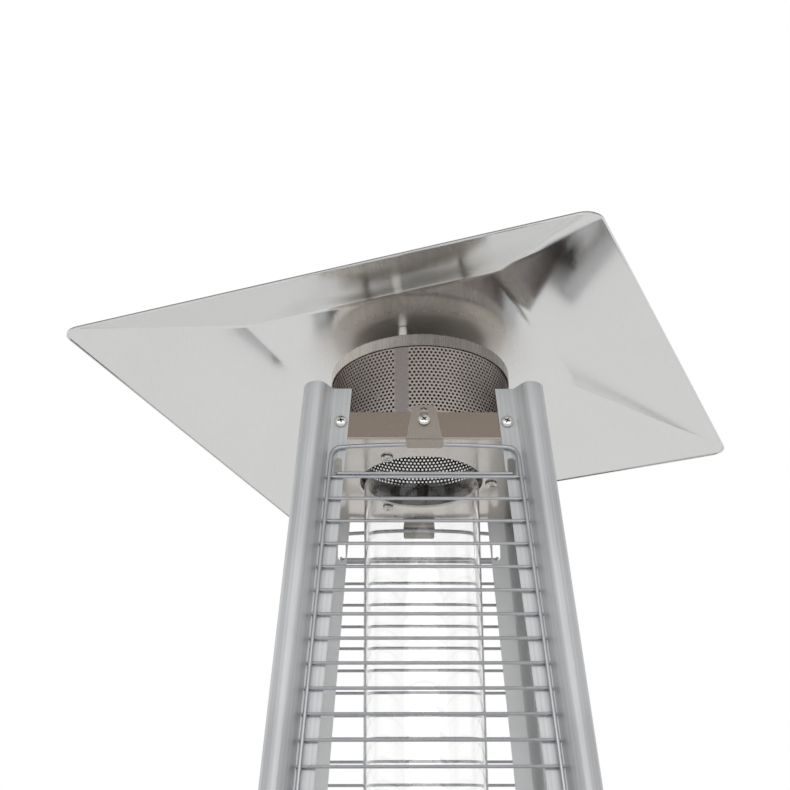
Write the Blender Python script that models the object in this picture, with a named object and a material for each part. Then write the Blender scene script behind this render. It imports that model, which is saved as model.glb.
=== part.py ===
"""Pyramid patio heater: a glass flame tube inside four leaning posts, under a square reflector.

Metres, +Z up. The ground is z = 0, the front faces -Y. Every face of the pyramid leans in by the same
taper, so a place on a face is given by its height, its distance across and its setback: how far it lies
behind the outermost plane of the posts at that height. One side is modelled and turned for the others.
"""
import bpy
import bmesh
from math import atan, cos, pi, radians, sin, tau
from mathutils import Matrix, Vector

# Clearances, and how far cutters run past what they cut
GAP = 0.0003
OVERRUN = 0.004
DEEP_OVERRUN = 0.008

# Mesh settings; angles in degrees
MERGE_DISTANCE = 0.00001
SMOOTH_ANGLE = 35.0
CUTTER_SIDES = 16
SLOT_END_STEPS = 4

# Main sizes
TRAY_HEIGHT = 2.130
DECK_HEIGHT = 0.880
TAPER = 0.072
GLASS_RADIUS = 0.050

# Posts
POST_SHEET = 0.0012
POST_CORNER_RADIUS = 0.0125
POST_SWEEP_RUN = 0.0126
POST_CREASE = POST_CORNER_RADIUS + POST_SWEEP_RUN
FLANGE_WIDTH = 0.0148
POST_REACH = POST_CREASE + FLANGE_WIDTH
FLANGE_SETBACK = 0.0144
POST_ABOVE_TRAY = 0.048
POST_CORNER_STEPS = 4
POST_SWEEP_STEPS = 3
SWEEP_TURN_SHARE = 0.8

# Slots in the post flanges for the guards' hooks
SLOT_WIDTH = 0.007
SLOT_HEIGHT = 0.0181
SLOT_FROM_EDGE = 0.0053
SLOT_CENTRE_IN = POST_REACH - SLOT_FROM_EDGE
HOOK_SEAT = 0.0009

# Screws
HEAD_RADIUS = 0.0052
HEAD_HEIGHT = 0.0032
HEAD_CROWN_SHARE = 0.55
HEAD_EDGE_SHARE = 0.35
SHANK_RADIUS = 0.0020
SHANK_LENGTH = 0.009
SCREW_SIDES = 8
POST_SCREW_FROM_EDGE = 0.0065
POST_SCREW_IN = POST_REACH - POST_SCREW_FROM_EDGE
POST_SCREW_ABOVE_TRAY = 0.0155

# Top tray
TRAY_SHEET = 0.0012
TRAY_FLANGE = 0.026
TRAY_HOLE_CLEARANCE = 0.0030
TRAY_HOLE_RADIUS = GLASS_RADIUS + TRAY_HOLE_CLEARANCE

# Flame screen and its cap; the posts stand just outside the screen
SCREEN_SHEET = 0.0010
SCREEN_FOOT_CLEARANCE = 0.0025
SCREEN_FOOT_RADIUS = TRAY_HOLE_RADIUS + SCREEN_FOOT_CLEARANCE
SCREEN_SCREW_FROM_FOOT = 0.0055
SCREEN_SCREW_CIRCLE = SCREEN_FOOT_RADIUS + SCREEN_SCREW_FROM_FOOT
SCREEN_WALL_FROM_SCREWS = 0.0177
SCREEN_RADIUS = SCREEN_SCREW_CIRCLE + SCREEN_WALL_FROM_SCREWS
SCREEN_SCREW_ANGLES = (0.0, 120.0, 240.0)
SCREEN_TO_TRAY_WALL = 0.0078
HALF_AT_TRAY = SCREEN_RADIUS + SCREEN_TO_TRAY_WALL + TRAY_SHEET + GAP + POST_SHEET + FLANGE_SETBACK
CAP_SHEET = 0.0010
CAP_RADIUS = SCREEN_RADIUS + GAP + CAP_SHEET
CAP_TOP_ABOVE_TRAY = 0.1050
CAP_BAND = 0.0114
CAP_LEDGE = 0.0030
CAP_LEDGE_RADIUS = CAP_RADIUS - CAP_LEDGE
CAP_SLANT = 0.0148
CAP_RISE = 0.0102
CAP_CROWN_RADIUS = CAP_LEDGE_RADIUS - CAP_SLANT
ROUND_SIDES = 40

# Reflector
REFLECTOR_TURN = -22.96
REFLECTOR_SIDE = 0.461
REFLECTOR_HEM = 0.0024
REFLECTOR_CORNER = 0.015
REFLECTOR_FLAT_SIDE = 0.2277
REFLECTOR_FLAT_CORNER = 0.003
REFLECTOR_ABOVE_CAP = 0.0211
REFLECTOR_FLAT_ABOVE_TRAY = CAP_TOP_ABOVE_TRAY + REFLECTOR_ABOVE_CAP
REFLECTOR_DEPTH = 0.0413
REFLECTOR_SLOPE = 0.016
REFLECTOR_RIM_ABOVE_TRAY = REFLECTOR_FLAT_ABOVE_TRAY - REFLECTOR_DEPTH
REFLECTOR_SHEET = 0.0012
REFLECTOR_CORNER_STEPS = 3

# Studs that carry the reflector
STUD_COUNT = 3
STUD_FROM_CROWN_EDGE = 0.0062
STUD_CIRCLE = CAP_CROWN_RADIUS - STUD_FROM_CROWN_EDGE
STUD_FIRST_TURN = 6.4
STUD_RADIUS = 0.0025
SLEEVE_RADIUS = 0.0046
NUT_RADIUS = 0.0046
NUT_HEIGHT = 0.0040
STUD_CROWN_HEIGHT = 0.0090
STUD_CROWN_SHARE = 0.5
STUD_TAIL = 0.0030
STUD_SIDES = 12

# Guard clips
CLIP_SHEET = 0.0012
CLIP_TOP_ABOVE_TRAY = 0.032
CLIP_BEND_BELOW_TRAY = 0.0039
CLIP_LIP_BOTTOM_BELOW_TRAY = 0.0127
CLIP_TOP_HALF = 0.0098
CLIP_BOTTOM_HALF = 0.0153
CLIP_SHELF = 0.0076
CLIP_SLOT_WIDTH = 0.0065
CLIP_SLOT_TOP_ABOVE_TRAY = 0.0296
CLIP_SCREW_ABOVE_TRAY = 0.017

# Wire guards; above the second rung they bend back towards the flange
GUARD_WIRE = 0.0034
GUARD_RUNG = 0.0027
GUARD_TO_FLANGE = 0.0007
GUARD_WIRE_SETBACK = FLANGE_SETBACK - GUARD_TO_FLANGE - GUARD_RUNG - GUARD_WIRE / 2
GUARD_FROM_CREASE = 0.0034
GUARD_WIRE_IN = POST_CREASE + GUARD_FROM_CREASE
GUARD_TOP_BELOW_CLIP = 0.0016
GUARD_CORNER = 0.010
GUARD_CORNER_STEPS = 3
GUARD_TOP_BELOW_TRAY = CLIP_BEND_BELOW_TRAY + CLIP_SHEET + GUARD_TOP_BELOW_CLIP + GUARD_WIRE / 2
GUARD_BEND_BACK = 0.0030
GUARD_BEND_POWER = 3
HOOK_BELOW_TRAY = 0.0340
FIRST_RUNG_BELOW_TRAY = HOOK_BELOW_TRAY + GUARD_RUNG + GAP
RUNG_PITCH = 0.02005
GUARD_ABOVE_DECK = 0.030
GUARD_BOTTOM_HEIGHT = DECK_HEIGHT + GUARD_ABOVE_DECK
LOWER_HOOK_ABOVE_BOTTOM = 0.030
HOOK_REACH = 0.0035

# Glass tube and the ring that it stands in
GLASS_WALL = 0.0025
GLASS_ABOVE_TRAY = 0.020
GLASS_SIDES = 28
RING_WALL = 0.0015
RING_HEIGHT = 0.016
RING_FLANGE = 0.0092
RING_BORE = GLASS_RADIUS + GAP
RING_FOOT_RADIUS = RING_BORE + RING_WALL + RING_FLANGE
RING_LEDGE = 0.0009
RING_INNER_RADIUS = GLASS_RADIUS - GLASS_WALL - RING_LEDGE

# Burner deck, and the burner's flange, which rests on the rim of the deck's hole
DECK_SHEET = 0.0012
DECK_FLANGE = 0.025
BURNER_FLANGE_GAP = 0.0006
BURNER_FLANGE_RADIUS = RING_INNER_RADIUS - BURNER_FLANGE_GAP
BURNER_FLANGE_SHEET = 0.0020
BURNER_SEAT = 0.0030
DECK_HOLE_RADIUS = BURNER_FLANGE_RADIUS - BURNER_SEAT

# Pilot burner, electrode and thermocouple, on a circle through the burner's flange
PROBE_FROM_HOLE = 0.0070
PROBE_CIRCLE = DECK_HOLE_RADIUS - PROBE_FROM_HOLE
PROBE_ANGLES = (160.0, 180.0, 200.0)
PROBE_SIDES = 12
PROBE_COLLAR_RADIUS = 0.0045
PROBE_COLLAR_HEIGHT = 0.003
PROBE_BELOW_DECK = 0.022
PILOT_RADIUS = 0.0030
PILOT_HEIGHT = 0.024
PILOT_HOOD_RADIUS = 0.0042
PILOT_HOOD_HEIGHT = 0.007
ELECTRODE_RADIUS = 0.0028
ELECTRODE_CERAMIC_HEIGHT = 0.015
ELECTRODE_TIP_RADIUS = 0.0010
ELECTRODE_HEIGHT = 0.027
THERMOCOUPLE_RADIUS = 0.0024
THERMOCOUPLE_HEIGHT = 0.022
THERMOCOUPLE_TIP_SHARE = 0.5

# Burner
BURNER_HEAD_CLEARANCE = 0.0075
BURNER_HEAD_RADIUS = PROBE_CIRCLE - PROBE_COLLAR_RADIUS - BURNER_HEAD_CLEARANCE
BURNER_HEAD_HEIGHT = 0.020
BURNER_DOME_HEIGHT = 0.004
BURNER_DOME_SHARE = 0.6
BURNER_NECK_RADIUS = 0.012
BURNER_NECK_LENGTH = 0.050
BURNER_BELL_RADIUS = 0.016
BURNER_BELL_LENGTH = 0.008
BURNER_BORE_RADIUS = 0.0048
BURNER_BORE_LENGTH = 0.020
BURNER_SIDES = 24

# Base, which reaches a little past the posts' feet
BASE_LEDGE = 0.00828
BASE_HEIGHT = 0.045
BASE_SHEET = 0.0015
BASE_HEM = 0.014
BASE_CORNER = 0.018
BASE_CORNER_STEPS = 3

# Side and back panels
PANEL_SHEET = 0.0012
PANEL_LAP = 0.0120
PANEL_BELOW_DECK = 0.005
PANEL_TOP_HEIGHT = DECK_HEIGHT - DECK_FLANGE - PANEL_BELOW_DECK
PANEL_RETURN = 0.012
VENT_COUNT = 5
VENT_WIDTH = 0.160
VENT_HEIGHT = 0.008
VENT_PITCH = 0.026
VENT_TOP_BELOW_PANEL_TOP = 0.070
VENT_BOTTOM_ABOVE_BASE = 0.060

# Control panel and door, both shallow folded pans
PAN_SHEET = 0.0012
PAN_FROM_CREASE = 0.0034
PAN_EDGE_IN = POST_CREASE + PAN_FROM_CREASE
PAN_FRONT_SETBACK = 0.0040
DOOR_GAP = 0.006
CONTROL_BELOW_DECK = 0.006
CONTROL_TOP_HEIGHT = DECK_HEIGHT - CONTROL_BELOW_DECK
CONTROL_TALL = 0.134
CONTROL_BOTTOM_HEIGHT = CONTROL_TOP_HEIGHT - CONTROL_TALL
DOOR_SWING_GAP = 0.0018
DOOR_PIN_RADIUS = 0.0025
DOOR_PIN_FROM_EDGE = 0.0040
DOOR_PIN_BEHIND_SKIN = 0.0034
DOOR_PIN_SETBACK = PAN_FRONT_SETBACK + PAN_SHEET + DOOR_PIN_BEHIND_SKIN
DOOR_PIN_SEAT = 0.0025
DOOR_PIN_PAST_WALL = 0.003

# Door handle and magnet
HANDLE_ABOVE_BASE = 0.425
HANDLE_HEIGHT = BASE_HEIGHT + HANDLE_ABOVE_BASE
HANDLE_FROM_EDGE = 0.040
HANDLE_RADIUS = 0.015
HANDLE_NECK_RADIUS = 0.007
HANDLE_FOOT_RADIUS = 0.010
HANDLE_FOOT = 0.003
HANDLE_FLARE = 0.003
HANDLE_LENGTH = 0.026
HANDLE_HEAD = 0.009
HANDLE_SCREW_LENGTH = 0.006
HANDLE_SIDES = 20
MAGNET_WIDTH = 0.0070
MAGNET_LENGTH = 0.045
MAGNET_FROM_EDGE = 0.0049
MAGNET_IN = POST_REACH - MAGNET_FROM_EDGE
MAGNET_DEPTH = 0.0060

# Gas controls
KNOB_ACROSS = -0.035
KNOB_BELOW_DECK = 0.072
KNOB_HEIGHT = DECK_HEIGHT - KNOB_BELOW_DECK
KNOB_RADIUS = 0.024
KNOB_FACE_SHARE = 0.86
KNOB_LENGTH = 0.020
KNOB_TRAVEL = 0.004
KNOB_STANDOFF = 0.0055
KNOB_BORE_LENGTH = 0.0150
KNOB_SIDES = 24
KNOB_POINTER_WIDTH = 0.008
KNOB_POINTER_HEIGHT = 0.005
SPINDLE_RADIUS = 0.0030
SPINDLE_SIDES = 16
SPINDLE_END_GAP = 0.0008
SPINDLE_HOLE_GAP = 0.0006
VALVE_NECK_RADIUS = 0.009
VALVE_NECK_LENGTH = 0.013
VALVE_WIDTH = 0.040
VALVE_TALL = 0.044
VALVE_DEPTH = 0.046
VALVE_INLET_RADIUS = 0.007
VALVE_INLET_LENGTH = 0.024
VALVE_SIDES = 12

# Igniter
IGNITER_ACROSS = 0.055
BUTTON_RADIUS = 0.0080
BUTTON_PROUD = 0.0080
BUTTON_TRAVEL = 0.005
BUTTON_EDGE = 0.0015
BUTTON_SIDES = 20
IGNITER_RADIUS = 0.0115
IGNITER_LENGTH = 0.048
BUTTON_INSIDE = 0.0085
BUTTON_SPRING_ROOM = 0.0020

# Gas pipe
PIPE_RADIUS = 0.0040
PIPE_LEAD = 0.016
PIPE_BEND = 0.020
PIPE_BEND_STEPS = 6

# Wheels, which stand in notches of the base's back edge
WHEEL_RADIUS = 0.025
WHEEL_WIDTH = 0.020
WHEEL_HUB_RADIUS = 0.009
WHEEL_DISH = 0.004
WHEEL_RIM_SHARE = 0.72
WHEEL_TREAD_EDGE = 0.003
WHEEL_SIDES = 20
WHEEL_GROUND_GAP = 0.0025
WHEEL_SIDE_GAP = 0.0008
WHEEL_NOTCH_GAP = 0.0035
AXLE_BEHIND_BASE = 0.0095
AXLE_RADIUS = 0.0040
AXLE_HEAD_RADIUS = 0.0070
AXLE_HEAD = 0.003
AXLE_SIDES = 16
BRACKET_HALF = 0.115
BRACKET_SHEET = 0.0025
BRACKET_BOTTOM = 0.012
BRACKET_TOP = 0.042
BRACKET_PAST_AXLE = 0.008

SIDES = ("front", "right", "back", "left")
CORNERS = ("front_left", "front_right", "back_right", "back_left")


def half_width(height):
    """Half of the distance between the posts' outermost planes at a height."""
    return HALF_AT_TRAY + TAPER * (TRAY_HEIGHT - height)


def face_point(across, setback, height):
    """A point of the front face."""
    return Vector((across, setback - half_width(height), height))


FACE_TILT = atan(TAPER)
FLANGE_BACK = FLANGE_SETBACK + POST_SHEET
INSIDE = FLANGE_BACK + GAP
BASE_HALF = half_width(BASE_HEIGHT) + BASE_LEDGE


# Tools that make closed meshes

def material(name, colour, roughness, metallic, alpha=1.0):
    """Plain Principled material."""
    finish = bpy.data.materials.new(name)
    finish.use_nodes = True
    shader = finish.node_tree.nodes["Principled BSDF"]
    shader.inputs["Base Color"].default_value = (*colour, 1.0)
    shader.inputs["Roughness"].default_value = roughness
    shader.inputs["Metallic"].default_value = metallic
    shader.inputs["Alpha"].default_value = alpha
    finish.diffuse_color = (*colour, alpha)
    return finish


def finish_mesh(name, bm, smooth=False):
    """Closes a bmesh into a mesh with its faces pointing out."""
    bmesh.ops.recalc_face_normals(bm, faces=bm.faces)
    mesh = bpy.data.meshes.new(name)
    bm.to_mesh(mesh)
    bm.free()
    if smooth:
        mesh.shade_smooth()
        mesh.set_sharp_from_angle(angle=radians(SMOOTH_ANGLE))
    return mesh


def place(name, mesh, finish=None, parent=None, location=(0, 0, 0), rotation=(0, 0, 0)):
    """Links an object that holds the mesh."""
    item = bpy.data.objects.new(name, mesh)
    if finish and not mesh.materials:
        mesh.materials.append(finish)
    bpy.context.scene.collection.objects.link(item)
    item.parent = parent or heater_axis
    item.location = location
    item.rotation_euler = rotation
    return item


def empty(name, parent, location=(0, 0, 0), rotation=(0, 0, 0)):
    """An empty that carries other objects."""
    return place(name, None, None, parent, location, rotation)


def turned_mesh(name, outline, sides):
    """Turns a closed outline of (radius, height) points about Z; points at radius zero become poles."""
    bm = bmesh.new()
    points = [bm.verts.new((radius, 0, height)) for radius, height in outline]
    on_axis = [radius == 0 for radius, _ in outline]
    edges = []
    for i in range(len(points)):
        j = (i + 1) % len(points)
        if not (on_axis[i] and on_axis[j]):
            edges.append(bm.edges.new((points[i], points[j])))
    bmesh.ops.spin(bm, geom=points + edges, cent=(0, 0, 0), axis=(0, 0, 1), angle=tau, steps=sides,
                   use_merge=True, use_duplicate=False)
    bmesh.ops.remove_doubles(bm, verts=bm.verts, dist=MERGE_DISTANCE)
    return finish_mesh(name, bm, smooth=True)


def prism_mesh(name, outline, start, end):
    """Extrudes a closed outline of points from start to end, two offsets added to each point."""
    bm = bmesh.new()
    near = [bm.verts.new(Vector(point) + Vector(start)) for point in outline]
    cap = bm.faces.new(near)
    grown = bmesh.ops.extrude_face_region(bm, geom=[cap], use_keep_orig=True)
    moved = [item for item in grown["geom"] if isinstance(item, bmesh.types.BMVert)]
    bmesh.ops.translate(bm, verts=moved, vec=Vector(end) - Vector(start))
    return finish_mesh(name, bm)


def stacked_mesh(name, loops):
    """Skins a stack of loops that have the same number of points, and caps its two ends."""
    bm = bmesh.new()
    rings = [[bm.verts.new(point) for point in loop] for loop in loops]
    count = len(rings[0])
    for low, high in zip(rings, rings[1:]):
        for i in range(count):
            j = (i + 1) % count
            bm.faces.new((low[i], low[j], high[j], high[i]))
    bm.faces.new(rings[0])
    bm.faces.new(rings[-1])
    return finish_mesh(name, bm)


def box_mesh(name, low, high):
    """A box between two corners."""
    low, high = Vector(low), Vector(high)
    outline = [(low.x, low.y, 0), (high.x, low.y, 0), (high.x, high.y, 0), (low.x, high.y, 0)]
    return prism_mesh(name, outline, (0, 0, low.z), (0, 0, high.z))


def capsule_outline(half_wide, half_tall, steps=SLOT_END_STEPS):
    """An upright slot's outline in X and Z, round at both ends."""
    points = []
    for end, first in ((1, 0.0), (-1, pi)):
        centre = end * (half_tall - half_wide)
        for i in range(steps + 1):
            angle = first + pi * i / steps
            points.append((half_wide * cos(angle), 0, centre + half_wide * sin(angle)))
    return points


def rounded_square(half, corner, height, steps):
    """A square loop with round corners, at one height."""
    points = []
    for turn in range(4):
        centre = Vector((half - corner, half - corner, 0))
        for i in range(steps + 1):
            angle = pi / 2 * i / steps
            offset = Vector((corner * cos(angle), corner * sin(angle), 0))
            point = Matrix.Rotation(turn * pi / 2, 3, "Z") @ (centre + offset)
            points.append((point.x, point.y, height))
    return points


def modify(item, kind, other, operation):
    """Adds an exact Boolean with a second object, which is only a guide."""
    step = item.modifiers.new(kind, "BOOLEAN")
    step.object = other
    step.operation = operation
    step.solver = "EXACT"
    other.hide_render = True
    other.display_type = "WIRE"


def cut(item, *cutters):
    """Cuts each cutter out of an item."""
    for cutter in cutters:
        modify(item, "cut", cutter, "DIFFERENCE")


def join(item, *additions):
    """Unites each addition with an item."""
    for addition in additions:
        modify(item, "join", addition, "UNION")


def round_cutter(name, radius, low, high, parent=None, location=(0, 0, 0), rotation=(0, 0, 0),
                 sides=CUTTER_SIDES):
    """A cutter for a round hole along its own Z, whose flats clear the radius."""
    reach = radius / cos(pi / sides)
    mesh = turned_mesh(name, [(0, low), (reach, low), (reach, high), (0, high)], sides)
    return place(name, mesh, None, parent, location, rotation)


def remove_everything():
    """Starts from an empty scene."""
    for item in list(bpy.data.objects):
        bpy.data.objects.remove(item, do_unlink=True)


remove_everything()

steel = material("brushed_steel", (0.62, 0.62, 0.63), 0.35, 1.0)
satin = material("satin_steel", (0.42, 0.40, 0.37), 0.40, 1.0)
polished = material("polished_steel", (0.70, 0.70, 0.70), 0.15, 1.0)
screen_steel = material("screen_steel", (0.40, 0.37, 0.35), 0.42, 1.0)
zinc = material("zinc_plate", (0.78, 0.78, 0.78), 0.20, 1.0)
wire = material("bright_wire", (0.66, 0.67, 0.68), 0.25, 1.0)
quartz = material("quartz", (0.92, 0.95, 0.95), 0.03, 0.0, 0.25)
iron = material("cast_burner", (0.18, 0.18, 0.18), 0.60, 1.0)
ceramic = material("ceramic", (0.85, 0.84, 0.80), 0.45, 0.0)
brass = material("brass", (0.72, 0.55, 0.25), 0.30, 1.0)
black = material("black_plastic", (0.03, 0.03, 0.03), 0.45, 0.0)
rubber = material("rubber", (0.04, 0.04, 0.04), 0.80, 0.0)

heater_axis = bpy.data.objects.new("heater_axis", None)
bpy.context.scene.collection.objects.link(heater_axis)
side_empties = {side: empty("side_" + side, heater_axis, rotation=(0, 0, i * pi / 2))
                for i, side in enumerate(SIDES)}


# Screws

def screw_mesh(name):
    """Pan-head screw along Z: the head stands up from z = 0, the shank hangs down."""
    crown, edge = HEAD_CROWN_SHARE * HEAD_RADIUS, HEAD_EDGE_SHARE * HEAD_HEIGHT
    outline = [(0, HEAD_HEIGHT), (crown, HEAD_HEIGHT), (HEAD_RADIUS, edge), (HEAD_RADIUS, 0),
               (SHANK_RADIUS, 0), (SHANK_RADIUS, -SHANK_LENGTH), (0, -SHANK_LENGTH)]
    return turned_mesh(name, outline, SCREW_SIDES)


FACE_OUT = (pi / 2 - FACE_TILT, 0, 0)
screw = screw_mesh("screw")


# Posts

def post_line():
    """The post's outer line in plan, flange edge to flange edge, as distances in from the outer planes."""
    side = [(POST_REACH, FLANGE_SETBACK)]
    for i in range(POST_SWEEP_STEPS, 0, -1):
        share = i / POST_SWEEP_STEPS
        drop = (1 - cos(pi * SWEEP_TURN_SHARE * share)) / (1 - cos(pi * SWEEP_TURN_SHARE))
        side.append((POST_CORNER_RADIUS + POST_SWEEP_RUN * share, FLANGE_SETBACK * drop))
    corner = []
    for i in range(POST_CORNER_STEPS + 1):
        angle = pi / 2 * i / POST_CORNER_STEPS
        corner.append((POST_CORNER_RADIUS * (1 - sin(angle)), POST_CORNER_RADIUS * (1 - cos(angle))))
    return side + corner + [(b, a) for a, b in reversed(side)]


def offset_line(line, distance):
    """A line moved sideways by a distance, mitred at its bends; positive moves to its left."""
    points = [Vector(point) for point in line]
    moved = []
    for i, point in enumerate(points):
        normals = []
        for first, last in ((i - 1, i), (i, i + 1)):
            if first >= 0 and last < len(points):
                run = (points[last] - points[first]).normalized()
                normals.append(Vector((-run.y, run.x)))
        mean = (normals[0] + normals[-1]).normalized()
        moved.append(point + mean * distance / mean.dot(normals[0]))
    return moved


def post_mesh():
    """The post's sheet outline, carried up the slant of the front left corner."""
    outer = [Vector(point) for point in post_line()]
    section = outer + offset_line(outer, -POST_SHEET)[::-1]
    loops = []
    for height in (BASE_HEIGHT + GAP, TRAY_HEIGHT + POST_ABOVE_TRAY):
        half = half_width(height)
        loops.append([(point.x - half, point.y - half, height) for point in section])
    return stacked_mesh("post", loops)


def post_side_cutters(corner, side_name, hand):
    """The hook slots and the screw hole in one flange; hand is the side of the face that it lies on."""
    parent = side_empties[side_name]
    cutters = []
    for label, hook_height in (("top", UPPER_HOOK_HEIGHT), ("low", LOWER_HOOK_HEIGHT)):
        low = hook_height - GUARD_RUNG / 2 - HOOK_SEAT
        middle = low + SLOT_HEIGHT / 2
        place_at = face_point(hand * (half_width(middle) - SLOT_CENTRE_IN), FLANGE_SETBACK, middle)
        mesh = prism_mesh("slot", capsule_outline(SLOT_WIDTH / 2, SLOT_HEIGHT / 2),
                          (0, -OVERRUN, 0), (0, POST_SHEET + OVERRUN, 0))
        cutters.append(place(f"slot_{corner}_{side_name}_{label}", mesh, None, parent, place_at))
    height = TRAY_HEIGHT + POST_SCREW_ABOVE_TRAY
    place_at = face_point(hand * (half_width(height) - POST_SCREW_IN), FLANGE_SETBACK, height)
    cutters.append(round_cutter(f"hole_{corner}_{side_name}", SHANK_RADIUS + GAP, -OVERRUN, OVERRUN, parent,
                                place_at, FACE_OUT, SCREW_SIDES))
    return cutters


UPPER_HOOK_HEIGHT = TRAY_HEIGHT - HOOK_BELOW_TRAY
LOWER_HOOK_HEIGHT = GUARD_BOTTOM_HEIGHT + LOWER_HOOK_ABOVE_BOTTOM

post_shape = post_mesh()
posts = {}
for index, corner in enumerate(CORNERS):
    posts[corner] = place("post_" + corner, post_shape, steel, rotation=(0, 0, index * pi / 2))
    cut(posts[corner], *post_side_cutters(corner, SIDES[index], -1))
    cut(posts[corner], *post_side_cutters(corner, SIDES[index - 1], 1))


# Top tray

def tray_inside(height):
    """Half-width of what fits just inside the post flanges."""
    return half_width(height) - INSIDE


def frustum_pan(name, floor, rim, sheet):
    """A square pan whose walls lean with the posts; floor and rim are heights, the rim above or below."""
    into = sheet if rim > floor else -sheet
    loops = []
    for height, inset in ((floor, 0), (rim, 0), (rim, sheet), (floor + into, sheet)):
        half = tray_inside(height) - inset
        loops.append([(x * half, y * half, height) for x, y in ((-1, -1), (1, -1), (1, 1), (-1, 1))])
    return stacked_mesh(name, loops)


tray = place("top_tray", frustum_pan("top_tray", TRAY_HEIGHT, TRAY_HEIGHT + TRAY_FLANGE, TRAY_SHEET), satin)
cut(tray, round_cutter("tray_hole", TRAY_HOLE_RADIUS, -OVERRUN, OVERRUN, location=(0, 0, TRAY_HEIGHT),
                       sides=ROUND_SIDES))

for side, carrier in side_empties.items():
    for hand, label in ((-1, "left"), (1, "right")):
        height = TRAY_HEIGHT + POST_SCREW_ABOVE_TRAY
        across = hand * (half_width(height) - POST_SCREW_IN)
        place(f"post_screw_{side}_{label}", screw, zinc, carrier,
              face_point(across, FLANGE_SETBACK - GAP, height), FACE_OUT)
        cut(tray, round_cutter(f"tray_hole_{side}_{label}", SHANK_RADIUS + GAP, -DEEP_OVERRUN, OVERRUN,
                               carrier, face_point(across, FLANGE_SETBACK, height), FACE_OUT, SCREW_SIDES))


# Flame screen, its cap and its screws

SCREEN_FOOT_HEIGHT = TRAY_HEIGHT + TRAY_SHEET + GAP
CAP_TOP_HEIGHT = TRAY_HEIGHT + CAP_TOP_ABOVE_TRAY
CAP_UNDER_HEIGHT = CAP_TOP_HEIGHT - CAP_SHEET
CAP_CROWN_ABOVE_TRAY = CAP_TOP_ABOVE_TRAY + CAP_RISE

screen_tall = CAP_UNDER_HEIGHT - GAP - SCREEN_FOOT_HEIGHT
screen = place("flame_screen", turned_mesh("flame_screen", [
    (SCREEN_FOOT_RADIUS, 0), (SCREEN_RADIUS, 0), (SCREEN_RADIUS, screen_tall),
    (SCREEN_RADIUS - SCREEN_SHEET, screen_tall), (SCREEN_RADIUS - SCREEN_SHEET, SCREEN_SHEET),
    (SCREEN_FOOT_RADIUS, SCREEN_SHEET)], ROUND_SIDES), screen_steel, location=(0, 0, SCREEN_FOOT_HEIGHT))

cap = place("screen_cap", turned_mesh("screen_cap", [
    (0, CAP_RISE - CAP_SHEET), (CAP_CROWN_RADIUS, CAP_RISE - CAP_SHEET),
    (CAP_LEDGE_RADIUS, -CAP_SHEET), (CAP_RADIUS - CAP_SHEET, -CAP_SHEET),
    (CAP_RADIUS - CAP_SHEET, -CAP_BAND), (CAP_RADIUS, -CAP_BAND), (CAP_RADIUS, 0),
    (CAP_LEDGE_RADIUS, 0), (CAP_CROWN_RADIUS, CAP_RISE), (0, CAP_RISE)],
    ROUND_SIDES), satin, location=(0, 0, CAP_TOP_HEIGHT))

for number, angle in enumerate(SCREEN_SCREW_ANGLES, 1):
    spot = Matrix.Rotation(radians(angle), 3, "Z") @ Vector((SCREEN_SCREW_CIRCLE, 0, TRAY_HEIGHT - GAP))
    place(f"screen_screw_{number}", screw, zinc, location=spot, rotation=(pi, 0, 0))
    hole = round_cutter(f"screen_hole_{number}", SHANK_RADIUS + GAP, -OVERRUN, DEEP_OVERRUN, location=spot,
                        sides=SCREW_SIDES)
    cut(tray, hole)
    cut(screen, hole)


# Reflector and its studs

def reflector_mesh():
    """A flat square between four sloped faces that end in a turned-down hem; it all rises to the back."""
    half, flat = REFLECTOR_SIDE / 2, REFLECTOR_FLAT_SIDE / 2
    rim, top = REFLECTOR_RIM_ABOVE_TRAY, REFLECTOR_FLAT_ABOVE_TRAY
    sheet, corner = REFLECTOR_SHEET, REFLECTOR_CORNER
    inner, inner_corner = half - sheet, corner - sheet
    bend = rim + REFLECTOR_HEM
    rows = ((flat, REFLECTOR_FLAT_CORNER, top), (inner, inner_corner, bend - sheet),
            (inner, inner_corner, rim), (half, corner, rim), (half, corner, bend),
            (flat, REFLECTOR_FLAT_CORNER, top + sheet))
    mesh = stacked_mesh("reflector", [rounded_square(*row, REFLECTOR_CORNER_STEPS) for row in rows])
    for vertex in mesh.vertices:
        vertex.co.z += REFLECTOR_SLOPE * vertex.co.y
    return mesh


turntable = empty("reflector_turn", heater_axis, (0, 0, TRAY_HEIGHT), (0, 0, radians(REFLECTOR_TURN)))
reflector = place("reflector", reflector_mesh(), polished, turntable)


def stud_mesh(lift):
    """A round stud with a nut under the cap, a sleeve up to the reflector, which is higher here by the lift,
    and a domed nut on top."""
    nut_top = CAP_CROWN_ABOVE_TRAY - CAP_SHEET - GAP
    sleeve_foot = CAP_CROWN_ABOVE_TRAY + GAP
    sleeve_top = REFLECTOR_FLAT_ABOVE_TRAY + lift - GAP
    tail = nut_top - NUT_HEIGHT - STUD_TAIL
    outline = [(0, tail), (STUD_RADIUS, tail)]
    for low, high, radius in ((nut_top - NUT_HEIGHT, nut_top, NUT_RADIUS),
                              (sleeve_foot, sleeve_top, SLEEVE_RADIUS)):
        outline += [(STUD_RADIUS, low), (radius, low), (radius, high), (STUD_RADIUS, high)]
    crown = REFLECTOR_FLAT_ABOVE_TRAY + lift + REFLECTOR_SHEET + GAP
    outline += [(STUD_RADIUS, crown), (NUT_RADIUS, crown), (NUT_RADIUS, crown + NUT_HEIGHT),
                (STUD_CROWN_SHARE * NUT_RADIUS, crown + STUD_CROWN_HEIGHT), (0, crown + STUD_CROWN_HEIGHT)]
    return turned_mesh("reflector_stud", outline, STUD_SIDES)


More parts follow.
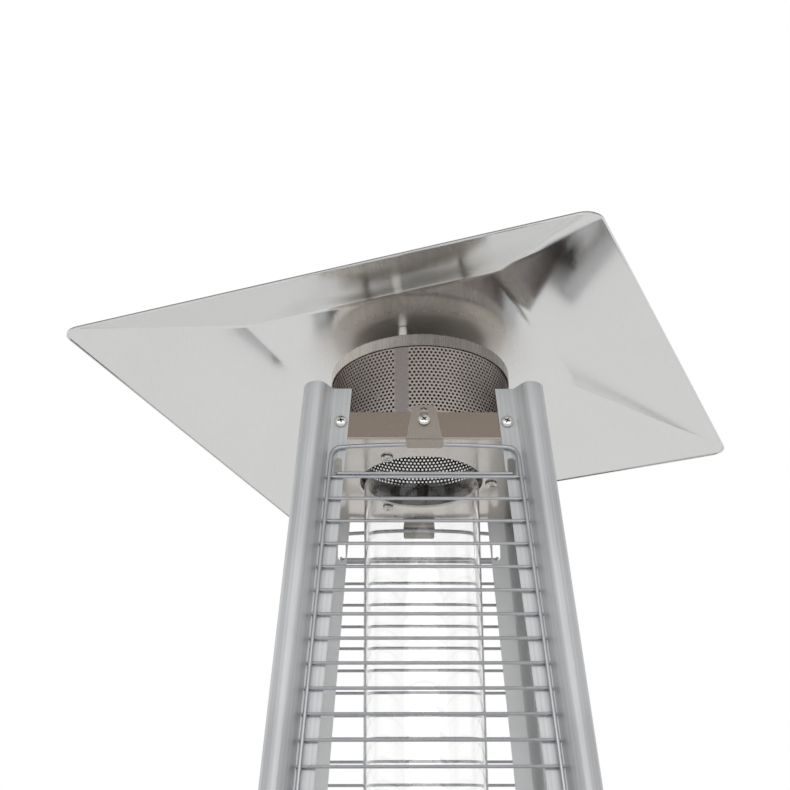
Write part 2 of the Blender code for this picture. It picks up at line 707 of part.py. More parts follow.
for number in range(STUD_COUNT):
    turn = radians(STUD_FIRST_TURN) + tau * number / STUD_COUNT
    spot = Matrix.Rotation(turn, 3, "Z") @ Vector((0, -STUD_CIRCLE, 0))
    stud = stud_mesh(REFLECTOR_SLOPE * spot.y)
    place(f"reflector_stud_{number + 1}", stud, zinc, turntable, spot)
    hole = round_cutter(f"stud_hole_{number + 1}", STUD_RADIUS + GAP,
                        CAP_CROWN_ABOVE_TRAY - CAP_SHEET - OVERRUN, REFLECTOR_FLAT_ABOVE_TRAY + OVERRUN,
                        turntable, spot, sides=SCREW_SIDES)
    cut(cap, hole)
    cut(reflector, hole)


# Guard clips

def ribbon_mesh(name, stations, sheet):
    """A folded strip with mitred bends: each station, from the top, is (setback, height, half width)."""
    outer = [Vector((setback, height)) for setback, height, _ in stations]
    inner = offset_line(outer, sheet)
    bm = bmesh.new()
    rows = []
    for skin_out, skin_in, (_, _, half) in zip(outer, inner, stations):
        row = []
        for across, skin in ((-half, skin_out), (half, skin_out), (half, skin_in), (-half, skin_in)):
            row.append(bm.verts.new(face_point(across, skin.x, skin.y)))
        rows.append(row)
    for first, second in zip(rows, rows[1:]):
        for i in range(4):
            j = (i + 1) % 4
            bm.faces.new((first[i], first[j], second[j], second[i]))
    bm.faces.new(rows[0])
    bm.faces.new(rows[-1])
    return finish_mesh(name, bm)


CLIP_SETBACK = FLANGE_BACK - CLIP_SHEET
CLIP_LIP_SETBACK = CLIP_SETBACK - CLIP_SHELF
clip_bend = TRAY_HEIGHT - CLIP_BEND_BELOW_TRAY
clip_shape = ribbon_mesh("guard_clip", [
    (CLIP_SETBACK, TRAY_HEIGHT + CLIP_TOP_ABOVE_TRAY, CLIP_TOP_HALF),
    (CLIP_SETBACK, clip_bend, CLIP_BOTTOM_HALF),
    (CLIP_LIP_SETBACK, clip_bend, CLIP_BOTTOM_HALF),
    (CLIP_LIP_SETBACK, TRAY_HEIGHT - CLIP_LIP_BOTTOM_BELOW_TRAY, CLIP_BOTTOM_HALF)], CLIP_SHEET)
for side, carrier in side_empties.items():
    clip = place("guard_clip_" + side, clip_shape, satin, carrier)
    height = TRAY_HEIGHT + CLIP_SCREW_ABOVE_TRAY
    low = height - SHANK_RADIUS - GAP
    high = TRAY_HEIGHT + CLIP_SLOT_TOP_ABOVE_TRAY
    slot = prism_mesh("clip_slot", capsule_outline(CLIP_SLOT_WIDTH / 2, (high - low) / 2),
                      (0, -OVERRUN, 0), (0, CLIP_SHEET + OVERRUN, 0))
    cut(clip, place("clip_slot_" + side, slot, None, carrier, face_point(0, CLIP_SETBACK, (low + high) / 2)))
    place("clip_screw_" + side, screw, zinc, carrier, face_point(0, CLIP_SETBACK - GAP, height), FACE_OUT)
    cut(tray, round_cutter("clip_hole_" + side, SHANK_RADIUS + GAP, -DEEP_OVERRUN, OVERRUN, carrier,
                           face_point(0, CLIP_SETBACK, height), FACE_OUT, SCREW_SIDES))


# Wire guards

def rung_heights():
    """Heights of a guard's rungs, lowest first: regular rungs, and a hook rung near each end."""
    heights = [UPPER_HOOK_HEIGHT, TRAY_HEIGHT - FIRST_RUNG_BELOW_TRAY, LOWER_HOOK_HEIGHT]
    height = TRAY_HEIGHT - FIRST_RUNG_BELOW_TRAY - RUNG_PITCH
    while height > GUARD_BOTTOM_HEIGHT + GUARD_WIRE + GUARD_RUNG:
        if abs(height - LOWER_HOOK_HEIGHT) > GUARD_RUNG + GAP:
            heights.append(height)
        height -= RUNG_PITCH
    return sorted(heights)


def bend_back(height):
    """How far a guard is bent back at a height: a power of the way from its second rung to its top wire."""
    top = TRAY_HEIGHT - GUARD_TOP_BELOW_TRAY
    start = TRAY_HEIGHT - FIRST_RUNG_BELOW_TRAY - RUNG_PITCH
    share = min(max((height - start) / (top - start), 0), 1)
    return GUARD_BEND_BACK * share ** GUARD_BEND_POWER


def guard_mesh():
    """A wire frame with round top corners, and three-sided rungs welded across its back."""
    wire_half, rung_half = GUARD_WIRE / 2, GUARD_RUNG / 2
    front = GUARD_WIRE_SETBACK - wire_half
    weld = GUARD_WIRE_SETBACK + wire_half
    back = weld + GUARD_RUNG
    top = TRAY_HEIGHT - GUARD_TOP_BELOW_TRAY
    rungs = rung_heights()

    def edge(height):
        return half_width(height) - GUARD_WIRE_IN

    bm = bmesh.new()

    def station(outer, inner):
        """Four corners of the frame's wire: outer and inner (across, height), in front and at the weld."""
        corners = ((outer, front), (inner, front), (inner, weld), (outer, weld))
        return [bm.verts.new(face_point(across, setback + bend_back(height), height))
                for (across, height), setback in corners]

    def upright(hand, height):
        middle = edge(height)
        return station((hand * (middle + wire_half), height), (hand * (middle - wire_half), height))

    def foot(hand):
        low, high = GUARD_BOTTOM_HEIGHT - wire_half, GUARD_BOTTOM_HEIGHT + wire_half
        outer, inner = edge(low) + wire_half, edge(high) - wire_half
        return station((hand * outer, low), (hand * inner, high))

    def bend(hand):
        """Stations round a top corner, from the upright to the top wire."""
        centre_height = top - GUARD_CORNER
        centre = edge(centre_height) - GUARD_CORNER
        stations = []
        for i in range(GUARD_CORNER_STEPS + 1):
            angle = pi / 2 * i / GUARD_CORNER_STEPS
            spots = [(hand * (centre + radius * cos(angle)), centre_height + radius * sin(angle))
                     for radius in (GUARD_CORNER + wire_half, GUARD_CORNER - wire_half)]
            stations.append(station(*spots))
        return stations

    left = [(upright(-1, height - rung_half), upright(-1, height + rung_half)) for height in rungs]
    right = [(upright(1, height - rung_half), upright(1, height + rung_half)) for height in rungs]
    loop = [(foot(-1), False)]
    for low, high in left:
        loop += [(low, True), (high, False)]
    loop += [(item, False) for item in bend(-1)] + [(item, False) for item in reversed(bend(1))]
    for low, high in reversed(right):
        loop += [(high, True), (low, False)]
    loop.append((foot(1), False))
    for (first, welded), (second, _) in zip(loop, loop[1:] + loop[:1]):
        for i in range(4):
            if not (welded and i == 2):
                j = (i + 1) % 4
                bm.faces.new((first[i], first[j], second[j], second[i]))
    for height, (left_low, left_high), (right_low, right_high) in zip(rungs, left, right):
        reach = edge(height) + wire_half
        behind = back + bend_back(height)
        far_l, far_r = (bm.verts.new(face_point(hand * reach, behind, height)) for hand in (-1, 1))
        bm.faces.new((left_low[2], right_low[2], right_high[2], left_high[2]))
        bm.faces.new((left_low[3], left_high[3], far_l))
        bm.faces.new((right_low[3], right_high[3], far_r))
        for near_l, near_r in ((left_low, right_low), (left_high, right_high)):
            bm.faces.new((near_l[3], near_l[2], far_l))
            bm.faces.new((near_l[2], near_r[2], far_r, far_l))
            bm.faces.new((near_r[2], near_r[3], far_r))
    return finish_mesh("wire_guard", bm)


def hook_mesh(hand, height):
    """A hook's end, which runs from the hook rung through the slot in the post flange."""
    across = hand * (half_width(height) - SLOT_CENTRE_IN)
    half = GUARD_RUNG / 2 - GAP / 2
    start = GUARD_WIRE_SETBACK + GUARD_WIRE / 2 + GUARD_RUNG / 2 + bend_back(height)
    low = face_point(across - half, start, height)
    high = face_point(across + half, FLANGE_BACK + HOOK_REACH, height)
    return box_mesh("hook", (low.x, low.y, height - half), (high.x, high.y, height + half))


guard_shape = guard_mesh()
for side, carrier in side_empties.items():
    guard = place("wire_guard_" + side, guard_shape, wire, carrier)
    for hand, label in ((-1, "left"), (1, "right")):
        for level, height in (("top", UPPER_HOOK_HEIGHT), ("low", LOWER_HOOK_HEIGHT)):
            join(guard, place(f"hook_{side}_{label}_{level}", hook_mesh(hand, height), None, carrier))


# Glass tube, its ring, the deck and the burner

deck_shape = frustum_pan("burner_deck", DECK_HEIGHT, DECK_HEIGHT - DECK_FLANGE, DECK_SHEET)
deck = place("burner_deck", deck_shape, steel)
cut(deck, round_cutter("deck_hole", DECK_HOLE_RADIUS, -OVERRUN, OVERRUN, location=(0, 0, DECK_HEIGHT),
                       sides=GLASS_SIDES))

place("glass_ring", turned_mesh("glass_ring", [
    (RING_INNER_RADIUS, 0), (RING_FOOT_RADIUS, 0), (RING_FOOT_RADIUS, RING_WALL),
    (RING_BORE + RING_WALL, RING_WALL), (RING_BORE + RING_WALL, RING_HEIGHT), (RING_BORE, RING_HEIGHT),
    (RING_BORE, RING_WALL), (RING_INNER_RADIUS, RING_WALL)], GLASS_SIDES), steel,
    location=(0, 0, DECK_HEIGHT + GAP))

GLASS_FOOT_HEIGHT = DECK_HEIGHT + GAP + RING_WALL + GAP
glass_tall = TRAY_HEIGHT + GLASS_ABOVE_TRAY - GLASS_FOOT_HEIGHT
place("glass_tube", turned_mesh("glass_tube", [
    (GLASS_RADIUS - GLASS_WALL, 0), (GLASS_RADIUS, 0), (GLASS_RADIUS, glass_tall),
    (GLASS_RADIUS - GLASS_WALL, glass_tall)], GLASS_SIDES), quartz, location=(0, 0, GLASS_FOOT_HEIGHT))

BURNER_HEIGHT = DECK_HEIGHT + GAP
head_top = BURNER_FLANGE_SHEET + BURNER_HEAD_HEIGHT
neck_end = -BURNER_NECK_LENGTH
burner = place("burner_head", turned_mesh("burner_head", [
    (0, neck_end + BURNER_BORE_LENGTH), (BURNER_BORE_RADIUS, neck_end + BURNER_BORE_LENGTH),
    (BURNER_BORE_RADIUS, neck_end), (BURNER_BELL_RADIUS, neck_end),
    (BURNER_NECK_RADIUS, neck_end + BURNER_BELL_LENGTH), (BURNER_NECK_RADIUS, 0),
    (BURNER_FLANGE_RADIUS, 0), (BURNER_FLANGE_RADIUS, BURNER_FLANGE_SHEET),
    (BURNER_HEAD_RADIUS, BURNER_FLANGE_SHEET), (BURNER_HEAD_RADIUS, head_top),
    (BURNER_DOME_SHARE * BURNER_HEAD_RADIUS, head_top + BURNER_DOME_HEIGHT),
    (0, head_top + BURNER_DOME_HEIGHT)], BURNER_SIDES), iron, location=(0, 0, BURNER_HEIGHT))

PROBE_FOOT = BURNER_FLANGE_SHEET + GAP
probe_lines = {
    "pilot_burner": (PILOT_RADIUS, brass, [
        (PILOT_RADIUS, PILOT_HEIGHT - PILOT_HOOD_HEIGHT),
        (PILOT_HOOD_RADIUS, PILOT_HEIGHT - PILOT_HOOD_HEIGHT), (PILOT_HOOD_RADIUS, PILOT_HEIGHT),
        (0, PILOT_HEIGHT)]),
    "igniter_electrode": (ELECTRODE_RADIUS, ceramic, [
        (ELECTRODE_RADIUS, ELECTRODE_CERAMIC_HEIGHT), (ELECTRODE_TIP_RADIUS, ELECTRODE_CERAMIC_HEIGHT),
        (ELECTRODE_TIP_RADIUS, ELECTRODE_HEIGHT), (0, ELECTRODE_HEIGHT)]),
    "thermocouple": (THERMOCOUPLE_RADIUS, zinc, [
        (THERMOCOUPLE_RADIUS, THERMOCOUPLE_HEIGHT - THERMOCOUPLE_RADIUS),
        (THERMOCOUPLE_TIP_SHARE * THERMOCOUPLE_RADIUS, THERMOCOUPLE_HEIGHT), (0, THERMOCOUPLE_HEIGHT)]),
}
for (name, (radius, finish, upper)), angle in zip(probe_lines.items(), PROBE_ANGLES):
    outline = [(0, -PROBE_BELOW_DECK), (radius, -PROBE_BELOW_DECK), (radius, PROBE_FOOT),
               (PROBE_COLLAR_RADIUS, PROBE_FOOT), (PROBE_COLLAR_RADIUS, PROBE_FOOT + PROBE_COLLAR_HEIGHT),
               (radius, PROBE_FOOT + PROBE_COLLAR_HEIGHT)] + upper
    spot = Matrix.Rotation(radians(angle), 3, "Z") @ Vector((PROBE_CIRCLE, 0, BURNER_HEIGHT))
    place(name, turned_mesh(name, outline, PROBE_SIDES), finish, location=spot)
    cut(burner, round_cutter(name + "_hole", radius + GAP, -OVERRUN, OVERRUN, location=spot,
                             sides=PROBE_SIDES))


# Base and panels

def base_mesh():
    """An upside-down pan with round corners, open underneath, with a hem turned in along the ground."""
    rows = ((BASE_SHEET, BASE_HEIGHT - BASE_SHEET), (BASE_SHEET, BASE_SHEET), (BASE_HEM, BASE_SHEET),
            (BASE_HEM, 0), (0, 0), (0, BASE_HEIGHT))
    loops = [rounded_square(BASE_HALF - inset, BASE_CORNER - inset, height, BASE_CORNER_STEPS)
             for inset, height in rows]
    return stacked_mesh("base_tray", loops)


base = place("base_tray", base_mesh(), steel)

PANEL_FOOT_HEIGHT = BASE_HEIGHT + GAP


def panel_edge(height):
    """Half-width of a panel, which laps behind the post flanges."""
    return half_width(height) - POST_REACH + PANEL_LAP


panel_shape = ribbon_mesh("panel", [
    (INSIDE + PANEL_RETURN, PANEL_TOP_HEIGHT, panel_edge(PANEL_TOP_HEIGHT) - PANEL_RETURN),
    (INSIDE, PANEL_TOP_HEIGHT, panel_edge(PANEL_TOP_HEIGHT)),
    (INSIDE, PANEL_FOOT_HEIGHT, panel_edge(PANEL_FOOT_HEIGHT)),
    (INSIDE + PANEL_RETURN, PANEL_FOOT_HEIGHT, panel_edge(PANEL_FOOT_HEIGHT) - PANEL_RETURN)], PANEL_SHEET)
vent_heights = [PANEL_TOP_HEIGHT - VENT_TOP_BELOW_PANEL_TOP - VENT_PITCH * i for i in range(VENT_COUNT)]
vent_heights += [BASE_HEIGHT + VENT_BOTTOM_ABOVE_BASE + VENT_PITCH * i for i in range(VENT_COUNT)]
for side in SIDES[1:]:
    carrier = side_empties[side]
    panel = place("panel_" + side, panel_shape, steel, carrier)
    for number, height in enumerate(vent_heights):
        middle = face_point(0, INSIDE, height)
        vent = box_mesh("vent", (-VENT_WIDTH / 2, middle.y - OVERRUN, height - VENT_HEIGHT / 2),
                        (VENT_WIDTH / 2, middle.y + OVERRUN, height + VENT_HEIGHT / 2))
        cut(panel, place(f"vent_{side}_{number}", vent, None, carrier))


# Control panel and door

def pan_mesh(name, low, high, front, back, sheet):
    """A folded pan on the front face: a skin with four walls, open behind."""
    def loop(inset, setback):
        points = []
        for hand, height in ((-1, low + inset), (1, low + inset), (1, high - inset), (-1, high - inset)):
            points.append(face_point(hand * (half_width(height) - PAN_EDGE_IN - inset), setback, height))
        return points
    return stacked_mesh(name, [loop(sheet, front + sheet), loop(sheet, back), loop(0, back), loop(0, front)])


PAN_BACK = FLANGE_SETBACK - GAP
DOOR_BACK = FLANGE_SETBACK - DOOR_SWING_GAP
DOOR_LOW, DOOR_HIGH = BASE_HEIGHT + DOOR_GAP, CONTROL_BOTTOM_HEIGHT - DOOR_GAP
control = place("control_panel", pan_mesh("control_panel", CONTROL_BOTTOM_HEIGHT, CONTROL_TOP_HEIGHT,
                                          PAN_FRONT_SETBACK, PAN_BACK, PAN_SHEET), steel)


def hinge_point(height):
    """A point of the door's slanted hinge line, near its left edge."""
    return face_point(PAN_EDGE_IN + DOOR_PIN_FROM_EDGE - half_width(height), DOOR_PIN_SETBACK, height)


HINGE_LINE = Vector((TAPER, TAPER, 1)).normalized()
door_hinge = empty("door_hinge", heater_axis, hinge_point(DOOR_LOW))
door_mesh = pan_mesh("front_door", DOOR_LOW, DOOR_HIGH, PAN_FRONT_SETBACK, DOOR_BACK, PAN_SHEET)
door_mesh.transform(Matrix.Translation(-hinge_point(DOOR_LOW)))
door = place("front_door", door_mesh, steel, door_hinge)

along = HINGE_LINE.to_track_quat("Z", "Y").to_euler()
for label, start, target in (("low", DOOR_LOW, base), ("top", DOOR_HIGH, control)):
    outward = -1 if label == "low" else 1
    depth = DOOR_GAP + DOOR_PIN_PAST_WALL + PAN_SHEET
    low, high = sorted((-outward * DOOR_PIN_SEAT, outward * depth))
    spot = hinge_point(start)
    pin = turned_mesh("pivot_pin", [(0, low), (DOOR_PIN_RADIUS, low), (DOOR_PIN_RADIUS, high), (0, high)],
                      PROBE_SIDES)
    join(door, place("pivot_pin_" + label, pin, None, None, spot, along))
    low, high = sorted((outward * DOOR_GAP / 2, outward * (depth + OVERRUN)))
    cut(target, round_cutter("pivot_hole_" + label, DOOR_PIN_RADIUS + GAP, low, high, None, spot, along,
                             PROBE_SIDES))


def normal_frame(name, parent, across, setback, height):
    """An empty on the front face whose Z stands out of the face."""
    return empty(name, parent, face_point(across, setback, height), FACE_OUT)


handle_across = half_width(HANDLE_HEIGHT) - PAN_EDGE_IN - HANDLE_FROM_EDGE
handle_at = face_point(handle_across, PAN_FRONT_SETBACK, HANDLE_HEIGHT)
neck = HANDLE_LENGTH - HANDLE_HEAD
handle = place("door_handle", turned_mesh("door_handle", [
    (0, -HANDLE_SCREW_LENGTH), (SHANK_RADIUS, -HANDLE_SCREW_LENGTH), (SHANK_RADIUS, GAP),
    (HANDLE_FOOT_RADIUS, GAP), (HANDLE_FOOT_RADIUS, HANDLE_FOOT),
    (HANDLE_NECK_RADIUS, HANDLE_FOOT + HANDLE_FLARE),
    (HANDLE_NECK_RADIUS, neck), (HANDLE_RADIUS, neck + HANDLE_FLARE),
    (HANDLE_RADIUS, HANDLE_LENGTH - HANDLE_FLARE),
    (HANDLE_FOOT_RADIUS, HANDLE_LENGTH), (0, HANDLE_LENGTH)], HANDLE_SIDES), black, door_hinge,
    handle_at - hinge_point(DOOR_LOW), FACE_OUT)
cut(door, round_cutter("handle_hole", SHANK_RADIUS + GAP, -OVERRUN, OVERRUN, None, handle_at, FACE_OUT))


def magnet_loop(height):
    """The magnet's outline, on the front of the right post's flange."""
    left = half_width(height) - MAGNET_IN - MAGNET_WIDTH / 2
    right = left + MAGNET_WIDTH
    front = PAN_BACK - MAGNET_DEPTH
    return [face_point(left, front, height), face_point(right, front, height),
            face_point(right, PAN_BACK, height), face_point(left, PAN_BACK, height)]


place("door_magnet", stacked_mesh("door_magnet", [
    magnet_loop(HANDLE_HEIGHT - MAGNET_LENGTH / 2), magnet_loop(HANDLE_HEIGHT + MAGNET_LENGTH / 2)]), black)


# Gas valve, spindle, knob and pipe

knob_frame = normal_frame("knob_frame", heater_axis, KNOB_ACROSS, PAN_FRONT_SETBACK, KNOB_HEIGHT)
PANEL_REAR = -PAN_SHEET - GAP
knob_end = KNOB_STANDOFF + KNOB_LENGTH
bore_end = KNOB_STANDOFF + KNOB_BORE_LENGTH
SPINDLE_END = bore_end - KNOB_TRAVEL - SPINDLE_END_GAP
BORE_RADIUS = SPINDLE_RADIUS + GAP

valve = place("gas_valve", turned_mesh("gas_valve", [
    (0, PANEL_REAR), (0, PANEL_REAR - VALVE_NECK_LENGTH - OVERRUN),
    (VALVE_NECK_RADIUS, PANEL_REAR - VALVE_NECK_LENGTH - OVERRUN), (VALVE_NECK_RADIUS, PANEL_REAR)],
    VALVE_SIDES), brass, knob_frame)
valve_front = PANEL_REAR - VALVE_NECK_LENGTH
valve_back = valve_front - VALVE_DEPTH
join(valve, place("valve_block", box_mesh("valve_block", (-VALVE_WIDTH / 2, -VALVE_TALL / 2, valve_back),
                                          (VALVE_WIDTH / 2, VALVE_TALL / 2, valve_front)), None, knob_frame))
inlet = turned_mesh("valve_inlet", [
    (0, 0), (VALVE_INLET_RADIUS, 0), (VALVE_INLET_RADIUS, VALVE_INLET_LENGTH), (0, VALVE_INLET_LENGTH)],
    VALVE_SIDES)
valve_middle = (valve_front + valve_back) / 2
join(valve, place("valve_inlet", inlet, None, knob_frame, (0, -VALVE_TALL / 2 + OVERRUN, valve_middle),
                  (pi / 2, 0, 0)))

place("valve_spindle", turned_mesh("valve_spindle", [
    (0, PANEL_REAR + GAP), (SPINDLE_RADIUS, PANEL_REAR + GAP), (SPINDLE_RADIUS, SPINDLE_END),
    (0, SPINDLE_END)], SPINDLE_SIDES), zinc, knob_frame)
face_radius = KNOB_FACE_SHARE * KNOB_RADIUS
knob = place("control_knob", turned_mesh("control_knob", [
    (0, bore_end), (BORE_RADIUS, bore_end), (BORE_RADIUS, KNOB_STANDOFF), (KNOB_RADIUS, KNOB_STANDOFF),
    (face_radius, knob_end), (0, knob_end)], KNOB_SIDES), black, knob_frame)
pointer = box_mesh("knob_pointer", (-KNOB_POINTER_WIDTH / 2, -face_radius, knob_end - OVERRUN),
                   (KNOB_POINTER_WIDTH / 2, face_radius, knob_end + KNOB_POINTER_HEIGHT))
join(knob, place("knob_pointer", pointer, None, knob_frame))
cut(control, round_cutter("spindle_hole", SPINDLE_RADIUS + SPINDLE_HOLE_GAP, -OVERRUN, OVERRUN, knob_frame,
                          sides=SPINDLE_SIDES))


def pipe_mesh():
    """A pipe that leaves the back of the valve squarely and turns up into the middle of the burner."""
    outlet = knob_frame.matrix_basis @ Vector((0, 0, valve_back - GAP))
    start = knob_frame.matrix_basis @ Vector((0, 0, valve_back - GAP - PIPE_LEAD))
    end_height = BURNER_HEIGHT - BURNER_NECK_LENGTH + BURNER_BORE_LENGTH / 2
    flat = Vector((-start.x, -start.y, 0)).normalized()
    run = Vector((start.x, start.y, 0)).length
    points = [outlet, start]
    for i in range(PIPE_BEND_STEPS + 1):
        angle = pi / 2 * i / PIPE_BEND_STEPS
        forward = run - PIPE_BEND + PIPE_BEND * sin(angle)
        rise = PIPE_BEND * (1 - cos(angle))
        points.append(start + flat * forward + Vector((0, 0, rise)))
    points.append(Vector((0, 0, end_height)))
    side = flat.cross(Vector((0, 0, 1)))
    loops = []
    for i, point in enumerate(points):
        heading = (points[min(i + 1, len(points) - 1)] - points[max(i - 1, 0)]).normalized()
        across = (side - side.dot(heading) * heading).normalized()
        up = across.cross(heading)
        ring = []
        for k in range(PROBE_SIDES):
            angle = tau * k / PROBE_SIDES
            ring.append(point + PIPE_RADIUS * (cos(angle) * across + sin(angle) * up))
        loops.append(ring)
    return stacked_mesh("gas_pipe", loops)


bpy.context.view_layer.update()
place("gas_pipe", pipe_mesh(), zinc)


# Igniter

igniter_frame = normal_frame("igniter_frame", heater_axis, IGNITER_ACROSS, PAN_FRONT_SETBACK, KNOB_HEIGHT)
socket = BUTTON_RADIUS + GAP
socket_floor = -BUTTON_INSIDE - BUTTON_TRAVEL - BUTTON_SPRING_ROOM
igniter_rear = PANEL_REAR - IGNITER_LENGTH
place("igniter_body", turned_mesh("igniter_body", [
    (0, igniter_rear), (IGNITER_RADIUS, igniter_rear), (IGNITER_RADIUS, PANEL_REAR), (socket, PANEL_REAR),
    (socket, socket_floor), (0, socket_floor)], BUTTON_SIDES), black, igniter_frame)
place("igniter_button", turned_mesh("igniter_button", [
    (0, -BUTTON_INSIDE), (BUTTON_RADIUS, -BUTTON_INSIDE), (BUTTON_RADIUS, BUTTON_PROUD - BUTTON_EDGE),
    (BUTTON_RADIUS - BUTTON_EDGE, BUTTON_PROUD), (0, BUTTON_PROUD)], BUTTON_SIDES), black, igniter_frame)
cut(control, round_cutter("button_hole", socket, -OVERRUN, OVERRUN, igniter_frame, sides=BUTTON_SIDES))


# Wheels, axle and bracket

AXLE_HEIGHT = WHEEL_GROUND_GAP + WHEEL_RADIUS
axle_back = BASE_HALF + AXLE_BEHIND_BASE
axle_frame = empty("axle_frame", heater_axis, (0, axle_back, AXLE_HEIGHT), (0, pi / 2, 0))
bracket_back = BASE_HALF + GAP
bracket_end = axle_back + BRACKET_PAST_AXLE
bracket_inner = BRACKET_HALF - BRACKET_SHEET
bracket_web = bracket_back + BRACKET_SHEET
bracket_outline = [(-BRACKET_HALF, bracket_end, 0), (-BRACKET_HALF, bracket_back, 0),
                   (BRACKET_HALF, bracket_back, 0), (BRACKET_HALF, bracket_end, 0),
                   (bracket_inner, bracket_end, 0), (bracket_inner, bracket_web, 0),
                   (-bracket_inner, bracket_web, 0), (-bracket_inner, bracket_end, 0)]
bracket_shape = prism_mesh("wheel_bracket", bracket_outline, (0, 0, BRACKET_BOTTOM), (0, 0, BRACKET_TOP))
bracket = place("wheel_bracket", bracket_shape, steel)
drill_half = BRACKET_HALF + OVERRUN
cut(bracket, round_cutter("axle_hole", AXLE_RADIUS + GAP, -drill_half, drill_half, axle_frame,
                          sides=AXLE_SIDES))

axle_half = BRACKET_HALF + WHEEL_SIDE_GAP + WHEEL_WIDTH + WHEEL_SIDE_GAP
place("wheel_axle", turned_mesh("wheel_axle", [
    (0, -axle_half - AXLE_HEAD), (AXLE_HEAD_RADIUS, -axle_half - AXLE_HEAD), (AXLE_HEAD_RADIUS, -axle_half),
    (AXLE_RADIUS, -axle_half), (AXLE_RADIUS, axle_half), (AXLE_HEAD_RADIUS, axle_half),
    (AXLE_HEAD_RADIUS, axle_half + AXLE_HEAD), (0, axle_half + AXLE_HEAD)], AXLE_SIDES), zinc, axle_frame)

half = WHEEL_WIDTH / 2
dish = half - WHEEL_DISH
rim_radius = WHEEL_RIM_SHARE * WHEEL_RADIUS
hub_foot = WHEEL_HUB_RADIUS + WHEEL_DISH / 2
bore = AXLE_RADIUS + GAP
wheel_shape = turned_mesh("wheel", [
    (bore, -half), (WHEEL_HUB_RADIUS, -half), (hub_foot, -dish), (rim_radius, -dish),
    (WHEEL_RADIUS - WHEEL_TREAD_EDGE, -half), (WHEEL_RADIUS, WHEEL_TREAD_EDGE - half),
    (WHEEL_RADIUS, half - WHEEL_TREAD_EDGE), (WHEEL_RADIUS - WHEEL_TREAD_EDGE, half),
    (rim_radius, dish), (hub_foot, dish), (WHEEL_HUB_RADIUS, half), (bore, half)], WHEEL_SIDES)
wheel_across = BRACKET_HALF + WHEEL_SIDE_GAP + half
notch_half = half + AXLE_HEAD + WHEEL_NOTCH_GAP
notch = box_mesh("notch", (-notch_half, axle_back - WHEEL_RADIUS - WHEEL_NOTCH_GAP, -OVERRUN),
                 (notch_half, BASE_HALF + OVERRUN, BASE_HEIGHT + OVERRUN))
for label, hand in (("left", -1), ("right", 1)):
    place("wheel_" + label, wheel_shape, rubber, axle_frame, (0, 0, hand * wheel_across))
    cut(base, place("notch_" + label, notch, None, None, (hand * wheel_across, 0, 0)))
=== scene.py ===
"""Looks of the pyramid patio heater: its dressed pieces, finishes, studio and camera.

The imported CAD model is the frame, in metres, +Z up, with the front facing -Y. The pieces that show are
surfaces worked out with numpy in the places that the CAD nodes hold. One side of the pyramid is worked out
and turned by quarter turns for the other three.
"""
from math import atan, cos, pi, radians, sin, tau

import bmesh
import bpy
import numpy as np
from mathutils import Matrix, Vector


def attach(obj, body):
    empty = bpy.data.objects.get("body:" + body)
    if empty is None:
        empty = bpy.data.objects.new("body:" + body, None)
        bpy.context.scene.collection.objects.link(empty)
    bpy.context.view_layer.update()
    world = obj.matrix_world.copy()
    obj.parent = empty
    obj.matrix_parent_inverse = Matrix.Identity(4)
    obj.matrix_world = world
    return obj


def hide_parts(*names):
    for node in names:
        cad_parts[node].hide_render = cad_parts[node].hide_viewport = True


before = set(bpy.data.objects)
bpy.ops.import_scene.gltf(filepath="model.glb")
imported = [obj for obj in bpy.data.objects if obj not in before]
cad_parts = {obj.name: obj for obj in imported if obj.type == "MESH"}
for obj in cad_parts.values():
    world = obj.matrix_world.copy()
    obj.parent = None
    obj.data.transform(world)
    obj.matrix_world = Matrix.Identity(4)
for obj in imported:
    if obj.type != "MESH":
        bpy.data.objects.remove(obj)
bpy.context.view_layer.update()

# Main sizes of the pyramid
TRAY = 2.130
DECK = 0.880
TAPER = 0.072
FACE_TILT = atan(TAPER)
FACE_NORMAL = np.array([0.0, -cos(FACE_TILT), sin(FACE_TILT)])
HALF_AT_TRAY = 0.1036
GAP = 0.0003
CUT_REACH = 0.004
SIDES = ("front", "right", "back", "left")
CORNERS = ("front_left", "front_right", "back_right", "back_left")

# Posts
POST_SHEET = 0.0012
POST_CORNER = 0.0125
POST_SWEEP = 0.0126
POST_REACH = 0.0399
FLANGE_SETBACK = 0.0144
FLANGE_BACK = FLANGE_SETBACK + POST_SHEET
SWEEP_TURN_SHARE = 0.8
POST_TOP = TRAY + 0.048
BASE_TOP = 0.045
SLOT_WIDTH = 0.007
SLOT_HEIGHT = 0.0181
SLOT_IN = 0.0346
SLOT_BELOW_HOOK = 0.00225
POST_SCREW_IN = 0.0334
POST_SCREW_HEIGHT = TRAY + 0.0155

# Screws, and their turns in degrees: left and right on the posts, then on the clip
HEAD_RADIUS = 0.0052
HEAD_SIDE = 0.0011
HEAD_HEIGHT = 0.0032
SHANK_RADIUS = 0.0020
SHANK_LENGTH = 0.009
CROSS_REACH = 0.0027
CROSS_HALF_WIDTH = 0.00052
CROSS_DEPTH = 0.0021
SCREW_TURNS = {"front": (12, -25, 40), "right": (33, 7, -18), "back": (-8, 21, 60), "left": (50, -14, 27)}

# Top tray
SHEET = 0.0012
TRAY_FLANGE = 0.026
HOLE_RADIUS = 0.053
COLLAR_HEIGHT = 0.0085
COLLAR_BEND = 0.0022

